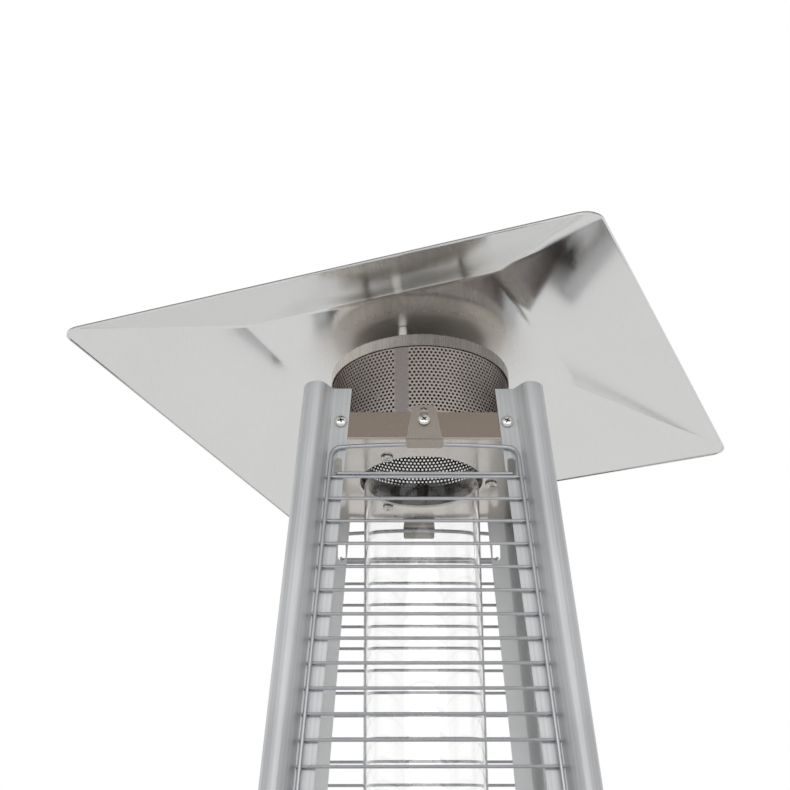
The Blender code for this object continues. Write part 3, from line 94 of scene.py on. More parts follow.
# Flame screen and its cap
SCREEN_RADIUS = 0.0787
SCREEN_SHEET = 0.0010
SCREEN_WALL = 0.0006
SCREEN_FOOT_RADIUS = 0.0555
SCREEN_SCREW_CIRCLE = 0.0610
SCREEN_CELLS = 134
SCREEN_ROWS = 20
SCREEN_HOLE_RADIUS = 0.00118
SCREEN_FIRST_ROW = TRAY + 0.0315
SCREEN_ROW_PITCH = 0.0032
SEAM_ANGLE = 257.0
SEAM_HALF = 0.0062
CAP_RADIUS = 0.0800
CAP_TOP = TRAY + 0.1050
CAP_BAND = 0.0114
CAP_LEDGE_RADIUS = 0.0770
CAP_CROWN_RADIUS = 0.0622
CAP_CROWN = CAP_TOP + 0.0102

# Reflector and its studs; turns are in degrees
REFLECTOR_TURN = -22.96
REFLECTOR_HALF = 0.2305
REFLECTOR_CORNER = 0.0154
REFLECTOR_FLAT_HALF = 0.11385
REFLECTOR_FLAT_CORNER = 0.004
REFLECTOR_FLAT = TRAY + 0.1261
REFLECTOR_RIM = TRAY + 0.0848
REFLECTOR_HEM = 0.0024
REFLECTOR_SLOPE = 0.016
REFLECTOR_RIPPLE = 0.00022
REFLECTOR_STEP = 0.006
STUD_CIRCLE = 0.0560
STUD_FIRST_TURN = 6.4
STUD_TAIL = 0.0030
THREAD_RADIUS = 0.00236
THREAD_SWING = 0.00012
THREAD_PITCH = 0.0008
SLEEVE_BORE = 0.0026
SLEEVE_RADIUS = 0.0046
NUT_HALF = 0.00395
NUT_HEIGHT = 0.0040
DOME_RADIUS = 0.0036
DOME_FOOT = 0.0038
DOME_RISE = 0.0050

# Guards
GUARD_WIRE = 0.0017
GUARD_RUNG = 0.00135
GUARD_SETBACK = 0.0093
GUARD_IN = 0.0285
GUARD_TOP = TRAY - 0.0094
GUARD_BOTTOM = 0.910
GUARD_CORNER = 0.010
GUARD_BOW = 0.0023
GUARD_BEND_BACK = 0.0030
RUNG_SETBACK = GUARD_SETBACK + GUARD_WIRE + GUARD_RUNG - 0.0002
RUNG_STUB = 0.0012
WELD_REACH = 0.0010
WELD_FADE = (0.0008, 0.0026)
HOOK_HEIGHTS = (TRAY - 0.0340, 0.940)
HOOK_END = 0.0030
HOOK_DROP = 0.0012
FIRST_RUNG = TRAY - 0.0370
RUNG_PITCH = 0.02005
WIRE_END_REACH = 0.35
WIRE_END_SWELL = (0.0, 0.5, 0.85)

# Clips
CLIP_TOP_HALF = 0.0098
CLIP_BEND_HALF = 0.0153
CLIP_TOP = TRAY + 0.032
CLIP_BEND = TRAY - 0.0039
CLIP_LIP = TRAY - 0.0127
CLIP_FRONT = FLANGE_BACK - SHEET
CLIP_LIP_SETBACK = 0.0068
CLIP_TOP_ROUND = 0.0045
CLIP_LIP_ROUND = 0.0022
CLIP_SCREW_HEIGHT = TRAY + 0.017
CLIP_SLOT_TOP = TRAY + 0.0296
CLIP_SLOT_HALF = 0.0034

# Glass, its ring and the burner
GLASS_RADIUS = 0.050
GLASS_WALL = 0.0025
GLASS_TOP = TRAY + 0.020
GLASS_FOOT = DECK + 0.0021
RING_BORE = 0.0466
RING_REACH = 0.061
RING_SHEET = 0.0015
RING_RISE = 0.016
BURNER_RADIUS = 0.024
PROBE_OUT = 0.036
PROBE_FOOT = 0.0020 + GAP

# Controls, pans and panels
CONTROL_HEIGHT = 0.808
KNOB_ACROSS = -0.035
BUTTON_ACROSS = 0.055
SPINDLE_HOLE = 0.0036
BUTTON_HOLE = 0.0083
HANDLE_HEIGHT = 0.470
HANDLE_IN = 0.040
PAN_FRONT = 0.0040
PAN_SHEET = 0.0012
PAN_EDGE = 0.0285
PAN_BEND = 0.0022
CONTROL_PAN = (0.740, 0.874)
DOOR = (0.051, 0.734)
HINGE_IN = 0.0325
HINGE_SETBACK = 0.0086
PANEL_TOP = 0.850
PANEL_RETURN = 0.012
VENT_HALF_LENGTH = 0.080
VENT_HALF_HEIGHT = 0.004
VENT_PITCH = 0.026
FIRST_VENTS = (PANEL_TOP - 0.070, BASE_TOP + 0.060)

# Base and wheels
BASE_HALF = 0.262
BASE_CORNER = 0.018
BASE_SHEET = 0.0015
BASE_HEM = 0.014
BASE_BEND = 0.003
WHEEL_RADIUS = 0.025
WHEEL_ACROSS = 0.1258
WHEEL_ROOM = 0.0035
NOTCH_HALF = 0.0165
AXLE_BACK = 0.2715
AXLE_HEIGHT = 0.0275
AXLE_HALF = 0.1366


def half_width(height):
    """Half of the distance between the posts' outer planes: it grows by the taper for each metre below the tray."""
    return HALF_AT_TRAY + TAPER * (TRAY - height)


def on_face(across, setback, height):
    """Points of the front face: x is the distance across, y is the setback less the half-width at that height."""
    across, setback, height = np.broadcast_arrays(across, setback, height)
    return np.stack([across, setback - half_width(height), height], -1).astype(float)


def twist(degrees):
    """Turn about Z."""
    return Matrix.Rotation(radians(degrees), 4, "Z")


def face_place(across, setback, height, turns=0):
    """Matrix of a part that stands on a face: its Z points out of the face, which is turned by quarter turns."""
    spot = Matrix.Translation(Vector(on_face(across, setback, height)))
    return twist(90 * turns) @ spot @ Matrix.Rotation(pi / 2 - FACE_TILT, 4, "X")


# Lines

def unit(vectors):
    """The vectors at length one."""
    return vectors / np.linalg.norm(vectors, axis=-1, keepdims=True)


def distinct(line):
    """The line without the points that repeat the one before."""
    return line[np.r_[True, np.linalg.norm(np.diff(line, axis=0), axis=1) > 1e-7]]


def lengths(line):
    """Distance along the line at each of its points."""
    return np.r_[0, np.cumsum(np.linalg.norm(np.diff(line, axis=0), axis=1))]


def beside(line, distance, *along):
    """The line moved square to its heading; along says how far along it the points lie, where they aren't even."""
    heading = unit(np.gradient(line, *along, axis=0))
    return line + distance * np.stack([-heading[:, 1], heading[:, 0]], -1)


def circle(count):
    """Even angles round a full turn."""
    return np.linspace(0, tau, count, endpoint=False)


def compass(angle):
    """Unit vectors at angles: (cos a, sin a)."""
    return np.stack([np.cos(angle), np.sin(angle)], -1)


def rings(radius, angle, height):
    """Points round Z: (r cos a, r sin a, h)."""
    return np.stack(np.broadcast_arrays(radius * np.cos(angle), radius * np.sin(angle), height), -1)


def eased(outline, reach, steps=4, closed=True):
    """Rounds the corners of an outline: a corner P becomes (1-t)^2 A + 2t(1-t) P + t^2 B for t from 0 to 1, where A
    and B lie on its two sides at the given reach from P, or at 0.49 of a side that is too short for that."""
    points = np.asarray(outline, float)
    back, ahead = np.roll(points, 1, 0) - points, np.roll(points, -1, 0) - points
    reach = np.broadcast_to(np.asarray(reach, float), (len(points),))[:, None]
    shares = [np.minimum(reach / np.maximum(np.linalg.norm(side, axis=1, keepdims=True), 1e-9), 0.49)
              for side in (back, ahead)]
    if not closed:
        for share in shares:
            share[[0, -1]] = 0
    first, last = points + back * shares[0], points + ahead * shares[1]
    t = np.linspace(0, 1, steps + 1)[:, None]
    curve = (1 - t) ** 2 * first[:, None] + 2 * t * (1 - t) * points[:, None] + t ** 2 * last[:, None]
    return curve.reshape(-1, points.shape[1])


def bent(line, reach, steps=5):
    """An open line with its corners eased and no point repeated."""
    return distinct(eased(line, reach, steps, False))


def rounded_square(half, corner, steps, side_steps):
    """Loop of a square with round corners: quarter arcs of the corner's radius, joined by evenly divided sides."""
    arc = half - corner + corner * compass(np.linspace(0, pi / 2, steps + 1))
    share = np.linspace(0, 1, side_steps + 1)[1:-1, None]
    straight = arc[-1] * (1 - share) + np.array([corner - half, half]) * share
    quarter = np.concatenate([arc, straight])
    return np.concatenate([quarter @ np.array([[cos(turn), sin(turn)], [-sin(turn), cos(turn)]])
                           for turn in np.arange(4) * pi / 2])


def capsule(half_wide, half_tall, steps=8):
    """Outline of an upright slot: two half circles of the half-width, centred above and below the middle."""
    angle = np.concatenate([np.linspace(0, pi, steps + 1), np.linspace(pi, tau, steps + 1)])
    lift = np.repeat([1.0, -1.0], steps + 1) * (half_tall - half_wide)
    return half_wide * compass(angle) + np.column_stack([0 * lift, lift])


# Surfaces

def cleaned(mesh, flat=False):
    """The mesh with its doubles merged and its faces turned outwards, or else its flat faces joined."""
    bm = bmesh.new()
    bm.from_mesh(mesh)
    bmesh.ops.remove_doubles(bm, verts=bm.verts, dist=1e-6)
    if flat:
        bmesh.ops.dissolve_limit(bm, angle_limit=radians(0.5), verts=bm.verts, edges=bm.edges)
    else:
        bmesh.ops.recalc_face_normals(bm, faces=bm.faces)
    bm.to_mesh(mesh)
    bm.free()
    return mesh


def sealed(name, points, faces):
    """Clean mesh of points and faces."""
    mesh = bpy.data.meshes.new(name)
    mesh.from_pydata(np.asarray(points, float).tolist(), [], faces)
    return cleaned(mesh)


def grid_faces(rows, columns, wrap_rows=False):
    """Quads between rings: (i, j), (i+1, j), (i+1, j+1), (i, j+1), with j that wraps, and i too on a closed grid."""
    i, j = np.meshgrid(np.arange(rows - (not wrap_rows)), np.arange(columns), indexing="ij")
    here, down, over = i * columns, (i + 1) % rows * columns, (j + 1) % columns
    return np.stack([here + j, down + j, down + over, here + over], -1).reshape(-1, 4)


def skin(name, grid, wrap_rows=False, capped=False):
    """Surface over rings of points, of shape (rows, columns, 3); caps close the first and the last row."""
    rows, columns = grid.shape[:2]
    faces = grid_faces(rows, columns, wrap_rows).tolist()
    if capped:
        faces += [list(range(columns)), list(range((rows - 1) * columns, rows * columns))]
    return sealed(name, grid.reshape(-1, 3), faces)


def many_skins(name, grids, closed):
    """One mesh of several tubes; closed says of each whether its rings run on from its last to its first."""
    points, faces, count = [], [], 0
    for grid, loop in zip(grids, closed):
        points.append(grid.reshape(-1, 3))
        faces.append(grid_faces(*grid.shape[:2], loop) + count)
        count += len(points[-1])
    return sealed(name, np.concatenate(points), np.concatenate(faces).tolist())


def lathe(name, outline, sides, reach=0.0, steps=3):
    """Turns a closed outline of (radius, height) about Z. Its corners off the axis are eased first."""
    outline = np.asarray(outline, float)
    if np.any(reach):
        outline = eased(outline, np.where(outline[:, 0] > 0, reach, 0), steps)
    return skin(name, rings(outline[:, :1], circle(sides), outline[:, 1:]), wrap_rows=True)


def stacked(name, levels):
    """Closed skin over flat outlines, each with its height."""
    grid = np.stack([np.column_stack([outline, np.full(len(outline), height)]) for outline, height in levels])
    return skin(name, grid, capped=True)


def prism(name, outline, low, high):
    """Straight prism of a closed (x, y) outline between two heights."""
    return stacked(name, [(outline, low), (outline, high)])


def cutter(outline):
    """Prism that cuts an outline through a sheet."""
    return prism("cutter", outline, -CUT_REACH, CUT_REACH)


def tube(path, normal, radius, sides, closed=False):
    """Grid of rings about a path: p + r (cos a n + sin a t x n), where t is the path's direction and n a normal that
    the whole path keeps. On an open path the rings at the ends shrink along half an ellipse, as a cut wire's do."""
    heading = unit(np.roll(path, -1, 0) - np.roll(path, 1, 0) if closed else np.gradient(path, axis=0))
    normal = np.broadcast_to(np.asarray(normal, float), path.shape)
    normal = unit(normal - (normal * heading).sum(1, keepdims=True) * heading)
    side = np.cross(heading, normal)
    radii = np.full(len(path), radius)
    if not closed:
        swell = np.array(WIRE_END_SWELL)
        first = path[0] - heading[0] * radius * WIRE_END_REACH * (1 - swell[:, None])
        last = path[-1] + heading[-1] * radius * WIRE_END_REACH * (1 - swell[::-1, None])
        path = np.concatenate([first, path, last])
        normal, side = [np.concatenate([way[:1].repeat(3, 0), way, way[-1:].repeat(3, 0)]) for way in (normal, side)]
        radii = np.concatenate([radius * swell, radii, radius * swell[::-1]])
    angle = circle(sides)[:, None]
    return path[:, None] + radii[:, None, None] * (np.cos(angle) * normal[:, None] + np.sin(angle) * side[:, None])


def vertex_places(mesh):
    """Array of the mesh's points."""
    spots = np.empty(3 * len(mesh.vertices))
    mesh.vertices.foreach_get("co", spots)
    return spots.reshape(-1, 3)


def marked(mesh, name, values):
    """The mesh with a number stored at each point, for its finish."""
    layer = mesh.attributes.new(name, "FLOAT", "POINT")
    layer.data.foreach_set("value", np.asarray(values, float))
    return mesh


def placed(name, data):
    """New object in the scene."""
    item = bpy.data.objects.new(name, data)
    bpy.context.scene.collection.objects.link(item)
    return item


def carved(mesh, cutters, operation="DIFFERENCE"):
    """The mesh with each cutter taken out of it, or joined to it, by an exact Boolean."""
    target = placed("target", mesh)
    tools = []
    for shape, place in cutters:
        tool = placed("tool", shape.copy())
        tool.data.transform(place)
        step = target.modifiers.new("carve", "BOOLEAN")
        step.operation, step.solver, step.object = operation, "EXACT", tool
        tools.append(tool)
    bpy.context.view_layer.update()
    result = bpy.data.meshes.new_from_object(target.evaluated_get(bpy.context.evaluated_depsgraph_get()))
    for item in [target, *tools]:
        bpy.data.objects.remove(item)
    return result


def piece(name, mesh, finish, slot, nodes, body="frame", place=None, crease=35.0, bevel=0.0):
    """Shown piece: the mesh put in its place, with its finish, riding on a body in the place of CAD nodes."""
    mesh = mesh.copy()
    if place is not None:
        mesh.transform(place)
    mesh.name = name
    mesh.materials.clear()
    mesh.materials.append(finish)
    mesh.shade_smooth()
    mesh.set_sharp_from_angle(angle=radians(crease))
    item = placed(name, mesh)
    if bevel:
        step = item.modifiers.new("edges", "BEVEL")
        step.width, step.segments, step.limit_method, step.angle_limit = bevel, 2, "ANGLE", radians(30)
    step = item.modifiers.new("flat_shading", "WEIGHTED_NORMAL")
    step.keep_sharp, step.weight = True, 90
    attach(item, body)
    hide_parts(*nodes)


# Finishes

def fill(tree, made, inputs):
    """Sets a node's inputs, each to a value or to another node's output."""
    for key, value in inputs.items():
        if isinstance(value, bpy.types.NodeSocket):
            tree.links.new(value, made.inputs[key])
        else:
            made.inputs[key].default_value = value


def node(tree, kind, inputs, **settings):
    """Adds a node."""
    made = tree.nodes.new(kind)
    for key, value in settings.items():
        setattr(made, key, value)
    fill(tree, made, inputs)
    return made


def maths(tree, operation, *values):
    """Sum, difference, product or the like of numbers."""
    return node(tree, "ShaderNodeMath", dict(enumerate(values)), operation=operation).outputs[0]


def vector_maths(tree, operation, *values, output=0):
    """The same of vectors or colours. A length or a dot product is output 1."""
    return node(tree, "ShaderNodeVectorMath", dict(enumerate(values)), operation=operation).outputs[output]


def axis_part(tree, vector, axis):
    """One of a vector's X, Y and Z."""
    return node(tree, "ShaderNodeSeparateXYZ", {"Vector": vector}).outputs[axis]


def axis_distance(tree, where):
    """Distance from the heater's axis: the length of (x, y, 0)."""
    return vector_maths(tree, "LENGTH", vector_maths(tree, "MULTIPLY", where, (1.0, 1.0, 0.0)), output=1)


def stored(tree, name):
    """Number that the mesh holds at its points."""
    return node(tree, "ShaderNodeAttribute", {}, attribute_name=name).outputs["Fac"]


def noise(tree, where, scale, detail=2.0, stretch=(1.0, 1.0, 1.0)):
    """Noise on stretched object coordinates, about 0.5 on average."""
    moved = node(tree, "ShaderNodeMapping", {"Vector": where, "Scale": stretch}).outputs["Vector"]
    return node(tree, "ShaderNodeTexNoise", {"Vector": moved, "Scale": scale, "Detail": detail}).outputs["Fac"]


def spread(tree, value, low, high, span=(0.3, 0.7)):
    """Stretches a value between two limits to a new range."""
    return node(tree, "ShaderNodeMapRange", {"Value": value, "From Min": span[0], "From Max": span[1],
                                             "To Min": low, "To Max": high}).outputs["Result"]


def mixed(tree, share, first, second):
    """Colour between two colours."""
    colours = [(*colour, 1.0) if isinstance(colour, tuple) else colour for colour in (first, second)]
    return node(tree, "ShaderNodeMix", {0: share, 6: colours[0], 7: colours[1]}, data_type="RGBA").outputs[2]


def bumped(tree, height, strength, distance=0.00005):
    """Normal that follows a height."""
    return node(tree, "ShaderNodeBump", {"Height": height, "Strength": strength, "Distance": distance}).outputs[0]


def new_finish(name):
    """An empty finish: its material, node tree, shader and object coordinates."""
    finish = bpy.data.materials.new(name)
    finish.use_nodes = True
    tree = finish.node_tree
    where = node(tree, "ShaderNodeTexCoord", {}).outputs["Object"]
    return finish, tree, tree.nodes["Principled BSDF"], where


def leaning(tree, where):
    """Coordinates that keep their value along a post: (|x| + taper z, |y| + taper z, z)."""
    drift = maths(tree, "MULTIPLY", axis_part(tree, where, "Z"), TAPER)
    shift = node(tree, "ShaderNodeCombineXYZ", {"X": drift, "Y": drift}).outputs["Vector"]
    return vector_maths(tree, "ADD", vector_maths(tree, "ABSOLUTE", where), shift)


def grained(tree, where, grain, patches, dark, light):
    """Noise of a sheet: its grain, the sum of grain and slower patches, and a colour between two that follows the sum.
    Grain and patches are given as a scale, a detail and, if there is one, a stretch."""
    lines = noise(tree, where, *grain)
    both = maths(tree, "ADD", lines, noise(tree, where, *patches))
    return lines, both, mixed(tree, spread(tree, both, 0.0, 1.0, (0.75, 1.25)), dark, light)


def metal(name, light, dark, rough, stretch=(1.0, 1.0, 1.0), scale=900.0, relief=0.15, tint=None, shade=None,
          metallic=1.0, leans=False):
    """Sheet metal: fine stretched noise is the rolling grain, in the colour, the roughness and a shallow bump; slow
    noise makes soft patches in the colour and the roughness. A tint is a colour and the two heights between which it
    comes in; on the tray it is painted shade. A shade is an attribute, the colour where that is one and, if it differs
    there, the share of metal; on the posts, the clips, the tray's hole and the screws it is painted light or shade, on
    the wire it darkens the welds.
    Leaning grain follows the posts."""
    finish, tree, shader, where = new_finish(name)
    if leans:
        where = leaning(tree, where)
    lines, both, colour = grained(tree, where, (scale, 3.0, stretch), (7.0, 3.0), dark, light)
    if tint:
        colour = mixed(tree, spread(tree, axis_part(tree, where, "Z"), 0.0, 1.0, tint[1]), colour, tint[0])
    if shade:
        share = stored(tree, shade[0])
        colour = mixed(tree, share, colour, shade[1])
        if len(shade) > 2:
            metallic = spread(tree, share, metallic, shade[2], (0.0, 1.0))
    fill(tree, shader, {"Base Color": colour, "Roughness": spread(tree, both, *rough, (0.7, 1.3)),
                        "Normal": bumped(tree, lines, relief), "Metallic": metallic})
    return finish


def plastic(name, light, dark, rough, scale=2500.0, relief=0.25):
    """Moulded plastic or rubber: fine noise is its grain, slow noise its wear in the colour and roughness."""
    finish, tree, shader, where = new_finish(name)
    grains, wear = noise(tree, where, scale), noise(tree, where, 25.0, 4.0)
    fill(tree, shader, {"Base Color": mixed(tree, spread(tree, wear, 0.0, 1.0), dark, light),
                        "Roughness": spread(tree, wear, *rough), "Normal": bumped(tree, grains, relief, 0.0001)})
    return finish


def cap_steel():
    """Drawn steel: stretched noise draws upright lines on the band, in the colour, the roughness and a bump; painted
    light and shade make the band lighter to the left and darker towards the right. Inward of it the heat has turned
    the sheet straw-coloured, and its underside is painted dark, as painted shade."""
    finish, tree, shader, where = new_finish("spun_cap")
    radius, height = axis_distance(tree, where), axis_part(tree, where, "Z")
    lines, _, colour = grained(tree, where, (700.0, 2.0, (1.0, 1.0, 0.02)), (14.0, 2.0), (0.31, 0.28, 0.255),
                               (0.47, 0.44, 0.41))
    # Painted light and shade: the band is brighter to the left and darker to the right.
    painted_side_light = spread(tree, axis_part(tree, where, "X"), 1.9, 0.78, (-CAP_RADIUS, 0.0))
    colour = vector_maths(tree, "MULTIPLY", colour, painted_side_light)
    inward = spread(tree, radius, 0.0, 1.0, (CAP_RADIUS, CAP_LEDGE_RADIUS))
    top = spread(tree, radius, CAP_CROWN, CAP_TOP, (CAP_CROWN_RADIUS, CAP_LEDGE_RADIUS))
    depth = spread(tree, maths(tree, "SUBTRACT", top, height), 0.0, 1.0, (0.0003, 0.0007))
    # Painted shade: the underside, below the top face, is near black.
    inner = mixed(tree, depth, (0.80, 0.75, 0.69), (0.06, 0.055, 0.05))
    fill(tree, shader, {"Base Color": mixed(tree, inward, colour, inner), "Roughness": spread(tree, lines, 0.20, 0.32),
                        "Normal": bumped(tree, lines, 0.05), "Metallic": spread(tree, inward, 1.0, 0.5, (0.0, 1.0))})
    return finish


def polished_sheet():
    """Polished steel with faint rolling lines. Round the axis the heat has made it straw-coloured and duller. The
    attribute "bend" is one on the hem's outer bend and 0.45 on its inner side; there the sheet has painted shade."""
    finish, tree, shader, where = new_finish("polished_canopy_steel")
    lines, both, colour = grained(tree, where, (700.0, 3.0, (1.0, 0.06, 1.0)), (5.0, 3.0), (0.85, 0.85, 0.84),
                                  (0.89, 0.89, 0.88))
    heat = spread(tree, axis_distance(tree, where), 1.0, 0.0, (0.062, 0.114))
    colour = mixed(tree, heat, colour, (0.80, 0.78, 0.75))
    rough = maths(tree, "ADD", spread(tree, both, 0.11, 0.17, (0.7, 1.3)), maths(tree, "MULTIPLY", heat, 0.27))
    # Painted shade: where "bend" is one the colour goes to dark grey.
    fill(tree, shader, {"Base Color": mixed(tree, stored(tree, "bend"), colour, (0.22, 0.22, 0.22)),
                        "Roughness": rough, "Normal": bumped(tree, lines, 0.04), "Metallic": 1.0})
    return finish


def screen_steel():
    """Perforated steel with a heat tint: slow noise goes from grey to a warm brown and a faint violet. Painted shade
    makes the left and right sides darker towards the foot, and paints the holes' walls and the inside, nearer to the
    axis, dark."""
    finish, tree, shader, where = new_finish("heat_tinted_screen_painted_shade")
    slow, slower = noise(tree, where, 16.0), noise(tree, where, 9.0, 1.0)
    outside = mixed(tree, spread(tree, slow, 0.0, 1.0), (0.62, 0.565, 0.52), (0.46, 0.405, 0.36))
    outside = mixed(tree, spread(tree, slower, 0.0, 0.6), outside, (0.51, 0.465, 0.48))
    outside = mixed(tree, stored(tree, "seam"), outside, (0.34, 0.31, 0.30))
    # Painted shade: the left and right sides darken towards the foot.
    across = axis_part(tree, vector_maths(tree, "ABSOLUTE", where), "X")
    side = spread(tree, across, 0.0, 1.0, (0.35 * SCREEN_RADIUS, 0.95 * SCREEN_RADIUS))
    low = spread(tree, axis_part(tree, where, "Z"), 1.0, 0.55, (TRAY + 0.050, CAP_TOP - CAP_BAND))
    outside = mixed(tree, maths(tree, "MULTIPLY", side, low), outside, (0.040, 0.032, 0.030))
    # Painted shade: the holes' walls and the inside go dark.
    depth = spread(tree, axis_distance(tree, where), 1.0, 0.0, (SCREEN_RADIUS - 0.0006, SCREEN_RADIUS - 0.0001))
    fill(tree, shader, {"Base Color": mixed(tree, depth, outside, (0.045, 0.04, 0.04)), "Metallic": 1.0,
                        "Roughness": spread(tree, slow, 0.14, 0.21), "Specular Tint": (0.50, 0.46, 0.44, 1.0)})
    return finish


def quartz_glass():
    """Clear quartz; slow noise dulls the surface a little where soot and handling would."""
    finish, tree, shader, where = new_finish("clear_quartz")
    fill(tree, shader, {"Base Color": (1.0, 1.0, 0.999, 1.0), "IOR": 1.46, "Transmission Weight": 1.0,
                        "Roughness": spread(tree, noise(tree, where, 12.0, 3.0), 0.0, 0.006)})
    return finish


# Painted light: the posts' inner faces, where "inside" is one, are painted pale and without metal.
post_steel = metal("rolled_post_steel", (0.73, 0.74, 0.75), (0.52, 0.53, 0.54), (0.31, 0.46), (1.0, 1.0, 0.006),
                   420.0, 0.06, metallic=0.45, leans=True, shade=("inside", (0.95, 0.96, 0.96), 0.0))
panel_steel = metal("brushed_panel_steel", (0.60, 0.60, 0.60), (0.51, 0.51, 0.51), (0.30, 0.42), (1.0, 1.0, 0.012))
# Painted shade: the tint paints the flange, above the underside, a dark brown that stands in for what it mirrors.
tray_steel = metal("tray_steel", (0.75, 0.71, 0.66), (0.71, 0.67, 0.62), (0.15, 0.21), (0.05, 1.0, 1.0), 500.0, 0.0,
                   # Painted highlight: where "rim" is one, the hole's lower bend is painted pale.
                   tint=((0.34, 0.285, 0.24), (TRAY + 0.0001, TRAY + 0.0011)),
                   shade=("rim", (0.95, 0.93, 0.90), 0.5))
# Painted light: the lip's inner side, where "inside" is one, is painted paler and less metallic.
clip_steel = metal("clip_steel", (0.41, 0.37, 0.33), (0.36, 0.32, 0.28), (0.32, 0.42), (1.0, 1.0, 0.1), relief=0.08,
                   shade=("inside", (0.66, 0.61, 0.56), 0.3))
zinc = metal("bright_zinc", (0.90, 0.89, 0.86), (0.80, 0.78, 0.75), (0.07, 0.16), scale=300.0, relief=0.05)
# Painted shade: the screw's recess and the foot of its head are painted near black.
screw_zinc = metal("bright_screw_zinc", (0.84, 0.83, 0.80), (0.70, 0.68, 0.65), (0.10, 0.18), scale=300.0,
                   relief=0.05, shade=("painted_shade", (0.07, 0.07, 0.07)))
wire_steel = metal("drawn_wire_steel", (0.53, 0.54, 0.56), (0.46, 0.47, 0.49), (0.26, 0.32), scale=120.0,
                   relief=0.03, shade=("weld", (0.16, 0.15, 0.14)))
burner_iron = metal("cast_burner_iron", (0.22, 0.20, 0.19), (0.10, 0.09, 0.09), (0.45, 0.70), scale=700.0, relief=0.8)
brass = metal("machined_brass", (0.80, 0.62, 0.30), (0.66, 0.49, 0.22), (0.20, 0.34), scale=400.0)
ceramic = plastic("glazed_ceramic", (0.88, 0.87, 0.83), (0.80, 0.78, 0.72), (0.15, 0.30), 400.0, 0.1)
black_plastic = plastic("black_moulding", (0.030, 0.030, 0.032), (0.018, 0.018, 0.019), (0.36, 0.52))
red_plastic = plastic("red_button_moulding", (0.42, 0.03, 0.025), (0.30, 0.02, 0.02), (0.22, 0.34), 1200.0, 0.1)
rubber = plastic("wheel_rubber", (0.045, 0.045, 0.045), (0.025, 0.025, 0.025), (0.60, 0.85), 900.0, 0.5)


# Screws

def screw_mesh():
    """Pan-head screw along Z, its head's underside at zero: a turned head and shank, less a cross whose four wings
    narrow with depth. Its stored attribute is painted shade: one in the cross's depth and 0.8 at the head's foot, a
    painted contact shadow."""
    dome = np.linspace(0, pi / 2, 7)
    crown = np.stack([HEAD_RADIUS * np.sin(dome) ** 0.8, HEAD_SIDE + (HEAD_HEIGHT - HEAD_SIDE) * np.cos(dome)], -1)
    crown[0, 0] = 0
    shank = [(HEAD_RADIUS, 0), (SHANK_RADIUS, 0), (SHANK_RADIUS, -SHANK_LENGTH), (0, -SHANK_LENGTH)]
    body = lathe("screw", np.concatenate([crown, shank]), 32)
    wing = np.array([(-1, -1), (1, -1), (1, 1), (-1, 1)]) * [CROSS_REACH, CROSS_HALF_WIDTH]
    cross = stacked("wing", [(wing * [0.55, 1.0], HEAD_HEIGHT - CROSS_DEPTH), (wing, HEAD_HEIGHT + 0.0002)])
    mesh = carved(body, [(cross, twist(0)), (cross, twist(90))])
    spots = vertex_places(mesh)
    radius, height = np.linalg.norm(spots[:, :2], axis=1), spots[:, 2]
    # Painted shade: the recess's depth, and at the head's foot a painted contact shadow.
    recess = (height > 0.0005) & (height < np.interp(radius, *crown.T) - 0.0004)
    foot = (height < 0.0002) & (radius > SHANK_RADIUS + GAP)
    return marked(mesh, "painted_shade", 1.0 * recess + 0.8 * foot)


def put_screw(label, node_name, place, turn):
    """One screw in its place, with its own turn."""
    piece("pan_screw_" + label, screw, screw_zinc, "bright_zinc", [node_name], place=place @ twist(turn))


screw = screw_mesh()
for turns, side in enumerate(SIDES):
    across = half_width(POST_SCREW_HEIGHT) - POST_SCREW_IN
    for hand, label, turn in ((-1, "left", SCREW_TURNS[side][0]), (1, "right", SCREW_TURNS[side][1])):
        put_screw(f"post_{side}_{label}", f"post_screw_{side}_{label}",
                  face_place(hand * across, FLANGE_SETBACK - GAP, POST_SCREW_HEIGHT, turns), turn)
    put_screw("clip_" + side, "clip_screw_" + side, face_place(0, CLIP_FRONT - GAP, CLIP_SCREW_HEIGHT, turns),
              SCREW_TURNS[side][2])
spot = Matrix.Translation((SCREEN_SCREW_CIRCLE, 0, TRAY - GAP)) @ Matrix.Rotation(pi, 4, "X")
for number in (1, 2, 3):
    put_screw(f"tray_{number}", f"screen_screw_{number}", twist(120 * (number - 1)) @ spot, 20 * number)


# Posts

def post_section():
    """Closed section of the rolled sheet at a corner, as distances in from the two outer planes. From the round
    corner a sweep runs to the crease: the setback is F (1 - cos 0.8 pi s) / (1 - cos 0.8 pi) for s from 0 to 1."""
    share = np.linspace(1, 0, 17)[:-1]
    drop = (1 - np.cos(pi * SWEEP_TURN_SHARE * share)) / (1 - cos(pi * SWEEP_TURN_SHARE))
    side = np.column_stack([POST_CORNER + POST_SWEEP * share, FLANGE_SETBACK * drop])
    side = np.concatenate([[(POST_REACH, FLANGE_SETBACK)], side])
    corner = POST_CORNER * (1 - compass(np.linspace(0, pi / 2, 17))[:, ::-1])
    outer = distinct(np.concatenate([side, corner, side[::-1, ::-1]]))
    run = unit(np.diff(outer, axis=0))
    normal = np.stack([run[:, 1], -run[:, 0]], -1)
    ends = np.concatenate([normal[:1], normal, normal[-1:]])
    mean = unit(ends[:-1] + ends[1:])
    inner = outer + mean * (POST_SHEET / (mean * ends[:-1]).sum(1))[:, None]
    return np.concatenate([outer, inner[::-1]])


